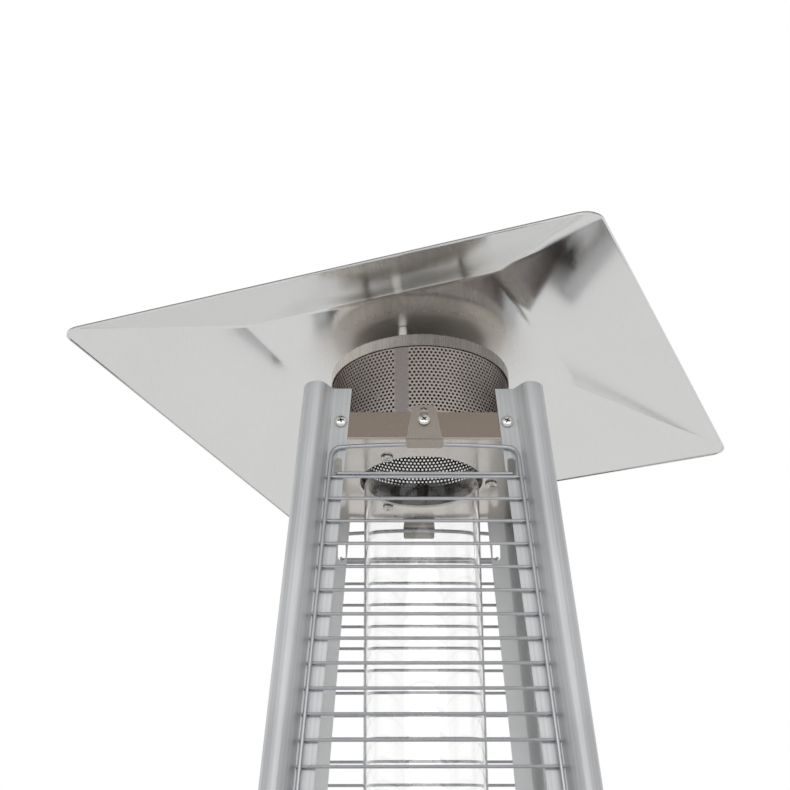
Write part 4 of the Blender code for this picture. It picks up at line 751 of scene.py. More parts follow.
def post_mesh():
    """The section carried straight up the leaning corner: at each height it is moved in by the half-width. The
    attribute "inside" is one at the points that lie more than half a sheet from the section's outer line; there the
    finish paints light, a pale unmetallic colour."""
    section = post_section()
    sheet = stacked("post", [(section - half_width(height), height) for height in (BASE_TOP + GAP, POST_TOP)])
    slot = cutter(capsule(SLOT_WIDTH / 2, SLOT_HEIGHT / 2))
    drill = cutter(capsule(SHANK_RADIUS + GAP, SHANK_RADIUS + 2 * GAP))
    cuts = [(slot, hook - SLOT_BELOW_HOOK + SLOT_HEIGHT / 2, SLOT_IN) for hook in HOOK_HEIGHTS]
    cuts.append((drill, POST_SCREW_HEIGHT, POST_SCREW_IN))
    mesh = carved(sheet, [(shape, face_place(hand * (half_width(height) - inward), FLANGE_SETBACK, height, turns))
                          for hand, turns in ((-1, 0), (1, -1)) for shape, height, inward in cuts])
    spots = vertex_places(mesh)
    spots = spots[:, :2] + half_width(spots[:, 2:])
    outer = section[:len(section) // 2]
    start, run = outer[None, :-1], np.diff(outer, axis=0)[None]
    along = ((spots[:, None] - start) * run).sum(-1) / (run ** 2).sum(-1)
    nearest = start + np.clip(along, 0, 1)[..., None] * run
    depth = np.linalg.norm(spots[:, None] - nearest, axis=-1).min(1)
    # Painted light: these inner faces get a pale colour in the finish.
    return marked(mesh, "inside", 1.0 * (depth > 0.5 * POST_SHEET))


post_shape = post_mesh()
for turns, corner in enumerate(CORNERS):
    piece("rolled_post_" + corner, post_shape, post_steel, "post_steel", ["post_" + corner], place=twist(90 * turns),
          crease=25.0)


# Top tray, flame screen and cap

def tray_mesh():
    """Square pan with a round collared hole. Its section runs from the collar's top down and out along the underside,
    up the flange and back inside; each station is a circle or a square, on the same compass directions, and a square
    reaches 1 / max(|cos|, |sin|). The attribute "rim" is one on the lower half of the hole's bend, where the finish
    paints a highlight."""
    low, high = TRAY, TRAY + TRAY_FLANGE
    rim_in, rim_out = (half_width(height) - FLANGE_BACK - GAP for height in (low, high))
    outline = [(HOLE_RADIUS, low + COLLAR_HEIGHT), (HOLE_RADIUS, low), (rim_in, low), (rim_out, high),
               (rim_out - SHEET, high), (rim_in - SHEET, low + SHEET), (HOLE_RADIUS + SHEET, low + SHEET),
               (HOLE_RADIUS + SHEET, low + COLLAR_HEIGHT)]
    stations = eased(outline, [0.0004, COLLAR_BEND, 0.0016, 0.0004, 0.0004, 0.0008, 0.0012, 0.0004], 5)
    square = np.repeat([False, False, True, True, True, True, False, False], 6)[:, None]
    angle = circle(192) + pi / 4
    factor = np.where(square, 1 / np.abs(compass(angle)).max(1), 1.0)
    mesh = skin("tray", rings(stations[:, :1] * factor, angle, stations[:, 1:]), wrap_rows=True)
    spots = vertex_places(mesh)
    bend = np.linalg.norm(spots[:, :2], axis=1) < HOLE_RADIUS + 0.5 * COLLAR_BEND
    # Painted highlight: the lower half of the hole's bend gets a pale colour in the finish.
    return marked(mesh, "rim", 1.0 * (bend & (spots[:, 2] < low + 0.5 * COLLAR_BEND)))


piece("folded_top_tray", tray_mesh(), tray_steel, "satin_steel", ["top_tray"], crease=25.0)


def on_seam(angle):
    """Whether an angle round the screen is within the seam's half-width of its middle."""
    return np.abs((np.degrees(angle) - SEAM_ANGLE + 180) % 360 - 180) * radians(1) * SCREEN_RADIUS < SEAM_HALF


def screen_mesh():
    """Perforated cylinder. A cell is a rectangle, one pitch wide and one row high, with eight points on its edge and
    an eight-sided hole; odd rows are shifted by half a cell, so that all edge points meet. Cells on the seam have no
    hole. The rings below and above the cells, and the turned-in foot, have the same columns. The attribute "seam" is
    one on the plain strip."""
    columns = 2 * SCREEN_CELLS
    step = tau / columns
    rows, cells = np.arange(SCREEN_ROWS)[:, None, None], np.arange(SCREEN_CELLS)[:, None]
    centre = 2 * cells + rows % 2
    middle = SCREEN_FIRST_ROW + (rows + 0.5) * SCREEN_ROW_PITCH
    turn = np.arange(8) * pi / 4
    edge = ((centre + np.array([1, 1, 0, -1, -1, -1, 0, 1])) * step,
            middle + np.array([0, 1, 1, 1, 0, -1, -1, -1]) / 2 * SCREEN_ROW_PITCH)
    hole = (centre * step + SCREEN_HOLE_RADIUS / SCREEN_RADIUS * np.cos(turn),
            middle + SCREEN_HOLE_RADIUS * np.sin(turn))
    inner_radius = SCREEN_RADIUS - SCREEN_WALL
    points = [rings(radius, angle, height).reshape(-1, 3)
              for radius in (SCREEN_RADIUS, inner_radius) for angle, height in (edge, hole)]
    block = len(points[0])
    here = np.arange(block).reshape(-1, 8)
    there = np.roll(here, -1, 1)
    quads = [np.stack([here, there, there + block, here + block], -1),
             np.stack([here + 2 * block, here + 3 * block, there + 3 * block, there + 2 * block], -1),
             np.stack([here + block, there + block, there + 3 * block, here + 3 * block], -1)]
    plain = on_seam(centre * step).ravel()
    faces = np.concatenate([quad[~plain].reshape(-1, 4) for quad in quads]).tolist()
    faces += here[plain].tolist() + (here[plain][:, ::-1] + 2 * block).tolist()

    foot, top = TRAY + SHEET + GAP, CAP_TOP - SCREEN_SHEET - GAP
    last = SCREEN_FIRST_ROW + SCREEN_ROWS * SCREEN_ROW_PITCH
    inner_bend, bend = [eased([(SCREEN_FOOT_RADIUS, foot + lift), (radius, foot + lift), (radius, SCREEN_FIRST_ROW)],
                              reach, 4, False)
                        for radius, lift, reach in ((inner_radius, SCREEN_SHEET, 0.0009), (SCREEN_RADIUS, 0, 0.0015))]
    upper = np.array([(SCREEN_RADIUS, last), (SCREEN_RADIUS, top), (inner_radius, top), (inner_radius, last)])
    for strip in (np.concatenate([inner_bend[::-1], bend]), upper):
        faces += (grid_faces(len(strip), columns) + sum(map(len, points))).tolist()
        points.append(rings(strip[:, :1], np.arange(columns) * step, strip[:, 1:]).reshape(-1, 3))
    mesh = sealed("screen", np.concatenate(points), faces)
    x, y, _ = vertex_places(mesh).T
    return marked(mesh, "seam", 1.0 * on_seam(np.arctan2(y, x)))


piece("perforated_flame_screen", screen_mesh(), screen_steel(), "screen_steel", ["flame_screen"], crease=40.0)
cap_in, cap_under, cap_foot = CAP_RADIUS - SCREEN_SHEET, CAP_TOP - SCREEN_SHEET, CAP_TOP - CAP_BAND
cap_shape = lathe("cap", [(0, CAP_CROWN - SCREEN_SHEET), (CAP_CROWN_RADIUS, CAP_CROWN - SCREEN_SHEET),
                          (CAP_LEDGE_RADIUS, cap_under), (cap_in, cap_under), (cap_in, cap_foot),
                          (CAP_RADIUS, cap_foot), (CAP_RADIUS, CAP_TOP), (CAP_LEDGE_RADIUS, CAP_TOP),
                          (CAP_CROWN_RADIUS, CAP_CROWN), (0, CAP_CROWN)],
                  144, [0, 0.0015, 0.0008, 0.0004, 0.0003, 0.0003, 0.0018, 0.0008, 0.0015, 0], 4)
piece("spun_screen_cap", cap_shape, cap_steel(), "satin_steel", ["screen_cap"])


# Reflector and its studs

def reflector_mesh():
    """Square loops carried along the sheet's section: flat, bend, sloped face, bend, hem, and back along the top side.
    A slow ripple of 0.2 mm, a product of sines that fades to nothing at the bends, keeps the sheet from being ideal.
    The attribute "bend", from each point's distance from the edge and its height above the rim, is one on the hem's
    outer bend and 0.45 on its inner side; the finish paints shade there."""
    half, rim, fold = REFLECTOR_HALF, REFLECTOR_RIM, REFLECTOR_RIM + REFLECTOR_HEM
    under = [(0.0, REFLECTOR_FLAT), (REFLECTOR_FLAT_HALF, REFLECTOR_FLAT), (half - SHEET, fold - SHEET),
             (half - SHEET, rim)]
    over = [(half, rim), (half, fold), (REFLECTOR_FLAT_HALF, REFLECTOR_FLAT + SHEET), (0.0, REFLECTOR_FLAT + SHEET)]
    section = np.concatenate([bent(under, [0, 0.006, 0.0016, 0.0002], 6), bent(over, [0.0002, 0.0022, 0.006, 0], 6)])
    reach = lengths(section)
    fine = [np.linspace(a, b, max(2, int((b - a) / REFLECTOR_STEP) + 1), endpoint=False)
            for a, b in zip(reach, reach[1:])]
    along = np.r_[np.concatenate(fine), reach[-1]]
    half, height = (np.interp(along, reach, column) for column in section.T)
    share = np.clip((half - REFLECTOR_FLAT_HALF) / (REFLECTOR_HALF - REFLECTOR_FLAT_HALF), 0, 1)
    corner = REFLECTOR_FLAT_CORNER + share * (REFLECTOR_CORNER - REFLECTOR_FLAT_CORNER)
    corner = np.minimum(corner, 0.6 * half + 1e-5)
    loops = np.stack([rounded_square(a, b, 8, 28) for a, b in zip(np.maximum(half, 1e-4), corner)])
    fade = np.sin(pi * share) ** 2
    x, y = loops[..., 0], loops[..., 1]
    ripple = np.sin(31 * x + 1.3) * np.sin(27 * y + 0.4) + 0.6 * np.sin(58 * x - 44 * y)
    height = height[:, None] + REFLECTOR_RIPPLE * fade[:, None] * ripple + REFLECTOR_SLOPE * y
    mesh = skin("canopy", np.concatenate([loops, height[..., None]], -1), capped=True)
    spots = vertex_places(mesh)
    corner = REFLECTOR_HALF - REFLECTOR_CORNER
    inward = REFLECTOR_CORNER - np.linalg.norm(np.maximum(np.abs(spots[:, :2]) - corner, 0), axis=1)
    inward[np.abs(spots[:, :2]).max(1) < corner] = 1.0
    height = spots[:, 2] - REFLECTOR_SLOPE * spots[:, 1] - rim
    # Painted shade: the outer bend, and less its inner side, are painted dark in the finish.
    outer_bend = (inward < 0.0009) & (height > REFLECTOR_HEM - 0.0013) & (height < REFLECTOR_HEM + 0.0003)
    inner_side = (np.abs(inward - SHEET) < 0.0001) & (height > 0.0001)
    return marked(mesh, "bend", 1.0 * outer_bend + 0.45 * inner_side)


turntable = twist(REFLECTOR_TURN)
piece("polished_canopy", reflector_mesh(), polished_sheet(), "polished_steel", ["reflector"], place=turntable,
      crease=50.0)


def plugged(grid):
    """Rings about Z with one more at each end, whose points all lie on the axis."""
    first, last = [np.broadcast_to([0, 0, ring[0, 2]], ring.shape)[None] for ring in (grid[0], grid[-1])]
    return np.concatenate([first, grid, last])


def nut_grid(low):
    """Hexagonal nut: a six-sided prism whose rings near its ends follow a cone, which chamfers the six corners."""
    angle = circle(48)
    flat = NUT_HALF / np.cos((angle + pi / 6) % (pi / 3) - pi / 6)
    high = low + NUT_HEIGHT
    heights = np.array([low, low + 0.0004, low + 0.0008, high - 0.0008, high - 0.0004, high])[:, None]
    limit = NUT_HALF + np.array([0.0, 0.0005, 0.001, 0.001, 0.0005, 0.0])[:, None]
    return plugged(rings(np.minimum(flat, limit), angle, heights))


def stud_mesh(lift):
    """Threaded stud, a nut under the cap, a sleeve up to the reflector, which is higher by the lift, and a domed nut
    on top. The stud's radius swings by 0.12 mm once per 0.8 mm of thread."""
    nut_foot = CAP_CROWN - SCREEN_SHEET - GAP - NUT_HEIGHT
    sleeve_foot, sleeve_top = CAP_CROWN + GAP, REFLECTOR_FLAT + lift - GAP
    crown = REFLECTOR_FLAT + lift + SHEET + GAP
    heights = np.linspace(nut_foot - STUD_TAIL, crown + NUT_HEIGHT, 260)[:, None]
    angle = circle(24)
    thread = rings(THREAD_RADIUS + THREAD_SWING * np.sin(heights * tau / THREAD_PITCH + angle), angle, heights)
    wall = eased([(SLEEVE_BORE, sleeve_foot), (SLEEVE_RADIUS, sleeve_foot), (SLEEVE_RADIUS, sleeve_top),
                  (SLEEVE_BORE, sleeve_top)], 0.0004, 3)
    rise = np.linspace(0, pi / 2, 8)[:, None]
    dome = rings(DOME_RADIUS * np.cos(rise), angle, crown + DOME_FOOT + DOME_RISE * np.sin(rise))
    grids = [plugged(thread), nut_grid(nut_foot), nut_grid(crown), rings(wall[:, :1], circle(40), wall[:, 1:]),
             plugged(dome)]
    return many_skins("stud", grids, [False, False, False, True, False])


for number in range(3):
    turned = twist(STUD_FIRST_TURN + 120 * number) @ Matrix.Translation((0, -STUD_CIRCLE, 0))
    piece(f"sleeved_stud_{number + 1}", stud_mesh(REFLECTOR_SLOPE * turned.translation.y), zinc, "bright_zinc",
          [f"reflector_stud_{number + 1}"], place=turntable @ turned)


# Wire guards

def guard_edge(height):
    """Distance of a guard's upright from the middle of its face."""
    return half_width(height) - GUARD_IN


def bend_back(height):
    """How far a guard is bent back: the cube of the way from its second rung up to its top wire."""
    start = FIRST_RUNG - RUNG_PITCH
    return GUARD_BEND_BACK * np.clip((height - start) / (GUARD_TOP - start), 0, 1) ** 3


def guard_frame():
    """Closed wire round the guard: two leaning uprights, four round corners, a straight foot and a top that rises by
    the bow times 1 - x^2, where x goes from -1 to 1 along it."""
    top, bottom = GUARD_TOP, GUARD_BOTTOM
    outline = eased([(-guard_edge(bottom), bottom), (-guard_edge(top), top), (guard_edge(top), top),
                     (guard_edge(bottom), bottom)], GUARD_CORNER, 8)
    gap = np.roll(outline, -1, 0) - outline
    share = np.linspace(0, 1, 24, endpoint=False)[:, None]
    outline = np.concatenate([point + line * share if np.linalg.norm(line) > 3 * GUARD_CORNER else point[None]
                              for point, line in zip(outline, gap)])
    across, height = outline.T
    reach = guard_edge(top) - GUARD_CORNER
    lift = np.where(height > top - 1e-4, GUARD_BOW * np.clip(1 - (across / reach) ** 2, 0, 1), 0)
    points = on_face(across, GUARD_SETBACK + bend_back(height), height + lift)
    return tube(points, FACE_NORMAL, GUARD_WIRE, 14, closed=True)


def rung_grid(height):
    """Straight rung behind the uprights, a little longer than the guard is wide, with points on both sides of the
    place where its weld ends."""
    edge = guard_edge(height)
    inner = edge - GUARD_WIRE
    across = np.array([edge + GUARD_WIRE + RUNG_STUB, *(inner - fade for fade in WELD_FADE), 0.0])
    across = np.concatenate([-across, across[-2::-1]])
    return tube(on_face(across, RUNG_SETBACK + bend_back(height), height), FACE_NORMAL, GUARD_RUNG, 10)


def hook_grid(height):
    """Wire across the face whose two ends turn back through the slots and a little down behind the flange."""
    reach = half_width(height) - SLOT_IN
    half = [(-reach, FLANGE_BACK + HOOK_END, -HOOK_DROP), (-reach, FLANGE_BACK, 0.0),
            (-reach, RUNG_SETBACK + bend_back(height), 0.0)]
    corners = half + [(-across, setback, drop) for across, setback, drop in half[::-1]]
    across, setback, drop = bent(corners, [0, 0.0010, 0.0022, 0.0022, 0.0010, 0]).T
    return tube(on_face(across, setback, height + drop), (0, TAPER, 1), GUARD_RUNG, 12)


def guard_mesh():
    """The welded guard: its frame, rungs at an even pitch but for the lower hook's place, and the hook wires. The
    attribute "weld" is one where a rung meets an upright."""
    heights = FIRST_RUNG - RUNG_PITCH * np.arange(60)
    room = 2 * GUARD_RUNG + GAP
    heights = heights[(heights > GUARD_BOTTOM + 2 * GUARD_WIRE + room) & (np.abs(heights - HOOK_HEIGHTS[1]) > room)]
    grids = [guard_frame(), *map(rung_grid, heights), *map(hook_grid, HOOK_HEIGHTS)]
    mesh = many_skins("guard", grids, [True] + [False] * (len(grids) - 1))
    across, y, height = vertex_places(mesh).T
    setback = y + half_width(height) - bend_back(height)
    at_edge = np.abs(across) > guard_edge(height) - GUARD_WIRE - WELD_REACH
    behind = (setback > GUARD_SETBACK + GUARD_WIRE + 0.0001) & (setback < FLANGE_BACK)
    return marked(mesh, "weld", 1.0 * (at_edge & behind))


def clip_mesh():
    """Folded clip: its section runs down the plate, forward under the tray's bend and down the lip. Its half-width
    grows in a line to the bend and shrinks along quarter circles at the plate's top and the lip's foot. The attribute
    "inside" is one on the lip's inner side, where the finish paints light."""
    line = bent([(CLIP_FRONT, CLIP_TOP), (CLIP_FRONT, CLIP_BEND), (CLIP_LIP_SETBACK, CLIP_BEND),
                 (CLIP_LIP_SETBACK, CLIP_LIP)], [0, 0.0012, 0.0012, 0])
    reach = lengths(line)
    quarter = 1 - np.cos(np.linspace(0, pi / 2, 9))
    along = np.concatenate([reach, CLIP_TOP_ROUND * quarter, reach[-1] - CLIP_LIP_ROUND * quarter])
    along = np.unique(along.round(7))
    middle = np.stack([np.interp(along, reach, column) for column in line.T], -1)
    behind = beside(middle, SHEET, along)
    half = np.interp(along, [0, CLIP_TOP - CLIP_BEND], [CLIP_TOP_HALF, CLIP_BEND_HALF])
    for radius, distance in ((CLIP_TOP_ROUND, along), (CLIP_LIP_ROUND, reach[-1] - along)):
        half = half - (radius - np.sqrt(radius ** 2 - np.clip(radius - distance, 0, radius) ** 2))
    share = half[:, None] * np.linspace(-1, 1, 9)
    rows = [on_face(share, middle[:, :1], middle[:, 1:]), on_face(-share, behind[:, :1], behind[:, 1:])]
    plate = skin("clip", np.concatenate(rows, 1), capped=True)
    low, high = CLIP_SCREW_HEIGHT - SHANK_RADIUS - GAP, CLIP_SLOT_TOP
    slot = cutter(capsule(CLIP_SLOT_HALF, (high - low) / 2))
    mesh = carved(plate, [(slot, face_place(0, CLIP_FRONT, (low + high) / 2))])
    _, y, height = vertex_places(mesh).T
    behind = y + half_width(height) > CLIP_LIP_SETBACK + SHEET / 2
    # Painted light: the lip's inner side is marked here for a paler colour.
    return marked(mesh, "inside", 1.0 * (behind & (height < CLIP_BEND - SHEET)))


guard_shape, clip_shape = guard_mesh(), clip_mesh()
for turns, side in enumerate(SIDES):
    piece("welded_guard_" + side, guard_shape, wire_steel, "guard_wire", ["wire_guard_" + side],
          place=twist(90 * turns))
    piece("folded_clip_" + side, clip_shape, clip_steel, "satin_steel", ["guard_clip_" + side],
          place=twist(90 * turns), crease=30.0)


# Glass tube and its ring

glass_bore = GLASS_RADIUS - GLASS_WALL
glass_shape = lathe("glass", [(glass_bore, GLASS_FOOT), (GLASS_RADIUS, GLASS_FOOT), (GLASS_RADIUS, GLASS_TOP),
                              (glass_bore, GLASS_TOP)], 160, 0.0009, 4)
piece("clear_flame_tube", glass_shape, quartz_glass(), "quartz", ["glass_tube"])
ring_in, ring_out = GLASS_RADIUS + GAP, GLASS_RADIUS + GAP + RING_SHEET
ring_foot, ring_top = DECK + GAP, DECK + GAP + RING_RISE
ring_flat = ring_foot + RING_SHEET
ring_shape = lathe("ring", [(RING_BORE, ring_foot), (RING_REACH, ring_foot), (RING_REACH, ring_flat),
                            (ring_out, ring_flat), (ring_out, ring_top), (ring_in, ring_top), (ring_in, ring_flat),
                            (RING_BORE, ring_flat)], 96, 0.0004, 3)
piece("spun_glass_ring", ring_shape, panel_steel, "post_steel", ["glass_ring"])


# Burner and its probes

def burner_mesh():
    """Cast burner: a turned outline whose head has twenty-four ports; the radius dips by 1.4 mm as cos^12 there."""
    head, foot = BURNER_RADIUS, DECK + GAP
    flange, top, neck = foot + 0.0020, foot + 0.022, foot - 0.050
    outline = eased([(0, neck + 0.020), (0.0048, neck + 0.020), (0.0048, neck), (0.016, neck), (0.012, neck + 0.008),
                     (0.012, foot), (0.046, foot), (0.046, flange), (head, flange), (head, flange + 0.007),
                     (head, flange + 0.013), (head, top), (0.6 * head, top + 0.004), (0, top + 0.004)],
                    [0, 0.0003, 0.0005, 0.0008, 0.003, 0.0015, 0.0005, 0.0005, 0.001, 0.001, 0.001, 0.0012, 0.003, 0],
                    4)
    fine = np.column_stack([np.full(13, head), np.linspace(flange + 0.004, flange + 0.016, 13)])
    at = np.flatnonzero((np.abs(outline[:, 0] - head) < 1e-6) & (outline[:, 1] < flange + 0.0075))[-1]
    outline = np.concatenate([outline[:at], fine, outline[at + 12:]])
    radius, height = outline[:, :1], outline[:, 1:]
    band = np.exp(-((height - flange - 0.010) / 0.0030) ** 4) * (np.abs(radius - head) < 0.0005)
    angle = circle(192)
    radius = radius - 0.0014 * band * np.abs(np.cos(12 * angle)) ** 12
    return skin("burner", rings(radius, angle, height), wrap_rows=True)


piece("cast_burner", burner_mesh(), burner_iron, "cast_burner", ["burner_head"], crease=40.0)
for name, angle, finish, slot_name, radius, upper in (
        ("pilot_burner", 160, brass, "brass_fitting", 0.0030,
         [(0.0030, 0.017), (0.0042, 0.017), (0.0042, 0.024), (0.0026, 0.024), (0.0026, 0.019), (0, 0.019)]),
        ("igniter_electrode", 180, ceramic, "ceramic", 0.0028,
         [(0.0028, 0.015), (0.0010, 0.015), (0.0010, 0.027), (0, 0.027)]),
        ("thermocouple", 200, zinc, "bright_zinc", 0.0024, [(0.0024, 0.0196), (0.0012, 0.022), (0, 0.022)])):
    outline = [(0, -0.022), (radius, -0.022), (radius, PROBE_FOOT), (0.0045, PROBE_FOOT),
               (0.0045, PROBE_FOOT + 0.003), (radius, PROBE_FOOT + 0.003), *upper]
    piece("probe_" + name, lathe(name, outline, 32, 0.0003, 2), finish, slot_name, [name],
          place=twist(angle) @ Matrix.Translation((PROBE_OUT, 0, DECK + GAP)))


# Controls

def knob_mesh():
    """Moulded knob with a fluted skirt: the radius is 24 mm less a taper and 0.8 mm of |sin 15a| flutes, and a grip bar
    across its face rises by 5 mm with eased ends."""
    foot, end = 0.0055, 0.0255
    rows = np.array([(0.0, 0.0205, 0), (0.0033, 0.0205, 0), (0.0033, foot, 0), (0.0225, foot, 0),
                     (0.0240, foot + 0.0012, 0), (0.0240, foot + 0.0030, 0.2), (0.0234, foot + 0.0060, 1),
                     (0.0216, end - 0.0040, 1), (0.0210, end - 0.0012, 0.6), (0.0200, end - 0.0003, 0),
                     (0.0190, end, 0), (0.0, end, 0)])
    angle = circle(240)
    radius = rows[:, :1] - 0.0008 * rows[:, 2:] * np.abs(np.sin(15 * angle))
    body = skin("knob", rings(radius, angle, rows[:, 1:2]), wrap_rows=True)
    bar = eased([(-0.0040, -0.0204), (0.0040, -0.0204), (0.0040, 0.0204), (-0.0040, 0.0204)], 0.0025, 5)
    grip = stacked("grip", [(bar * [share, (1 + share) / 2], end + rise)
                            for share, rise in ((1.0, -0.003), (0.97, 0.0040), (0.90, 0.0048), (0.80, 0.0050))])
    mark = prism("mark", eased([(-0.0005, 0.006), (0.0005, 0.006), (0.0005, 0.018), (-0.0005, 0.018)], 0.0003, 3),
                 end + 0.0045, end + 0.006)
    return carved(carved(body, [(grip, twist(0))], "UNION"), [(mark, twist(0))])


knob_place = face_place(KNOB_ACROSS, PAN_FRONT, CONTROL_HEIGHT)
button_place = face_place(BUTTON_ACROSS, PAN_FRONT, CONTROL_HEIGHT)
piece("fluted_knob", knob_mesh(), black_plastic, "black_plastic", ["control_knob"], "knob", knob_place, 30.0)
button = lathe("button", [(0, -0.0085), (0.0080, -0.0085), (0.0080, 0.0080), (0.0068, 0.0080), (0, 0.0074)], 64,
               [0, 0.0003, 0.0014, 0.0008, 0], 5)
piece("push_button", button, red_plastic, "button_plastic", ["igniter_button"], "button", button_place)
handle = lathe("handle", [(0, -0.006), (0.002, -0.006), (0.002, GAP), (0.010, GAP), (0.010, 0.003), (0.007, 0.006),
                          (0.007, 0.017), (0.015, 0.020), (0.015, 0.023), (0.010, 0.026), (0, 0.026)], 72,
               [0, 0, 0, 0.0005, 0.0015, 0.002, 0.004, 0.003, 0.002, 0.004, 0], 6)
piece("turned_door_knob", handle, black_plastic, "black_plastic", ["door_handle"], "door",
      face_place(half_width(HANDLE_HEIGHT) - PAN_EDGE - HANDLE_IN, PAN_FRONT, HANDLE_HEIGHT))


# Folded sheets of the cabinet

def pan_mesh(low, high, back):
    """Shallow folded pan on the front face, open behind. Its loops are leaning rectangles with round corners; they run
    along the inside, round the walls' back edge and over a quarter-round bend to the front skin."""
    def loop(inset, setback):
        height = np.array([low + inset, low + inset, high - inset, high - inset])
        across = np.array([-1, 1, 1, -1]) * (half_width(height) - PAN_EDGE - inset)
        outline = eased(np.column_stack([across, height]), max(0.0035 - inset, 0.0012), 5)
        return on_face(outline[:, 0], setback, outline[:, 1])
    loops = [loop(PAN_SHEET, PAN_FRONT + PAN_SHEET), loop(PAN_SHEET, back), loop(0, back)]
    loops += [loop(PAN_BEND * (1 - cos(turn)), PAN_FRONT + PAN_BEND * (1 - sin(turn)))
              for turn in np.linspace(0, pi / 2, 7)]
    return skin("pan", np.stack(loops), capped=True)


control_sheet = carved(pan_mesh(*CONTROL_PAN, FLANGE_SETBACK - GAP),
                       [(cutter(capsule(radius, radius + 1e-5, steps)), place)
                        for radius, steps, place in ((SPINDLE_HOLE, 12, knob_place), (BUTTON_HOLE, 16, button_place))])
piece("pressed_control_panel", control_sheet, panel_steel, "post_steel", ["control_panel"], crease=30.0)

hinge_line = Vector((TAPER, TAPER, 1)).normalized()
pin = lathe("pin", [(0, -0.0025), (0.0025, -0.0025), (0.0025, 0.0100), (0, 0.0100)], 24, 0.0004, 3)
pins = []
for height, outward in zip(DOOR, (-1, 1)):
    spot = Vector(on_face(HINGE_IN - half_width(height), HINGE_SETBACK, height))
    pins.append((pin, Matrix.Translation(spot) @ (outward * hinge_line).to_track_quat("Z", "Y").to_matrix().to_4x4()))
door_sheet = carved(pan_mesh(*DOOR, FLANGE_SETBACK - 0.0018), pins, "UNION")
piece("folded_door", door_sheet, panel_steel, "post_steel", ["front_door"], "door", crease=30.0)


def panel_mesh():
    """Folded panel with two returns, less ten slots with round ends, whose outline is an upright capsule laid over."""
    foot, inside = BASE_TOP + GAP, FLANGE_BACK + GAP
    stations = bent([(inside + PANEL_RETURN, PANEL_TOP, -PANEL_RETURN), (inside, PANEL_TOP, 0), (inside, foot, 0),
                     (inside + PANEL_RETURN, foot, -PANEL_RETURN)], [0, 0.002, 0.002, 0])
    front, behind = stations[:, :2], beside(stations[:, :2], PAN_SHEET)
    half = half_width(stations[:, 1]) - POST_REACH + PANEL_RETURN + stations[:, 2]
    rows = [on_face(sign * half, *line.T) for sign, line in ((-1, front), (1, front), (1, behind), (-1, behind))]
    sheet = skin("panel", np.stack(rows, 1), capped=True)
    slot = cutter(capsule(VENT_HALF_HEIGHT, VENT_HALF_LENGTH)[:, ::-1])
    rise = VENT_PITCH * np.arange(5)
    heights = np.concatenate([FIRST_VENTS[0] - rise, FIRST_VENTS[1] + rise])
    return carved(sheet, [(slot, face_place(0, inside, height)) for height in heights])


panel_shape = panel_mesh()
for turns, side in enumerate(SIDES[1:], 1):
    piece("vented_panel_" + side, panel_shape, panel_steel, "post_steel", ["panel_" + side], place=twist(90 * turns),
          crease=30.0)


def base_mesh():
    """Upside-down pan of rounded squares, with a hem turned in along the ground and two notches for the wheels."""
    sheet, bend = BASE_SHEET, BASE_BEND
    rows = eased([(sheet, BASE_TOP - sheet), (sheet, sheet), (BASE_HEM, sheet), (BASE_HEM, 0), (0, 0), (0, BASE_TOP)],
                 [0, 0.0006, 0.0003, 0.0003, 0.0020, 0.0], 4, False)
    over = [0, BASE_TOP - bend] + bend * (compass(np.linspace(0, pi / 2, 7)) * [-1, 1] + [1, 0])
    pan = stacked("base", [(rounded_square(BASE_HALF - inset, BASE_CORNER - inset, 10, 2), height)
                           for inset, height in np.concatenate([rows[:-5], over])])
    low, high = AXLE_BACK - WHEEL_RADIUS - WHEEL_ROOM, BASE_HALF + CUT_REACH
    notch = prism("notch", [(-NOTCH_HALF, low), (NOTCH_HALF, low), (NOTCH_HALF, high), (-NOTCH_HALF, high)],
                  -CUT_REACH, BASE_TOP + CUT_REACH)
    return carved(pan, [(notch, Matrix.Translation((hand * WHEEL_ACROSS, 0, 0))) for hand in (-1, 1)])


piece("hemmed_base", base_mesh(), panel_steel, "post_steel", ["base_tray"], crease=30.0)


def wheel_mesh():
    """Moulded wheel along Z: a turned outline with a dished web and hub; the tread's radius dips by 0.6 mm in forty
    grooves."""
    half = [(0.0043, -0.010), (0.0090, -0.010), (0.0110, -0.006), (0.0180, -0.006), (0.0220, -0.010),
            (WHEEL_RADIUS, -0.007)]
    bends = [0.0003, 0.001, 0.001, 0.0015, 0.002, 0.002]
    outline = eased(half + [(radius, -height) for radius, height in half[::-1]], bends + bends[::-1], 4)
    angle = circle(200)
    tread = np.clip((outline[:, :1] - 0.0238) / 0.001, 0, 1)
    radius = outline[:, :1] - 0.0006 * tread * (np.cos(40 * angle) > 0.55)
    return skin("wheel", rings(radius, angle, outline[:, 1:]), wrap_rows=True)


axle_place = Matrix.Translation((0, AXLE_BACK, AXLE_HEIGHT)) @ Matrix.Rotation(pi / 2, 4, "Y")
wheel = wheel_mesh()
for side, hand in (("left", -1), ("right", 1)):
    piece("treaded_wheel_" + side, wheel, rubber, "wheel_rubber", ["wheel_" + side], "wheel_" + side,
          axle_place @ Matrix.Translation((0, 0, hand * WHEEL_ACROSS)))
axle = lathe("axle", [(0, -AXLE_HALF - 0.003), (0.007, -AXLE_HALF - 0.003), (0.007, -AXLE_HALF), (0.004, -AXLE_HALF),
                      (0.004, AXLE_HALF), (0.007, AXLE_HALF), (0.007, AXLE_HALF + 0.003), (0, AXLE_HALF + 0.003)], 40,
             [0, 0.0015, 0.0003, 0, 0, 0.0003, 0.0015, 0], 4)
piece("headed_axle", axle, zinc, "bright_zinc", ["wheel_axle"], place=axle_place)

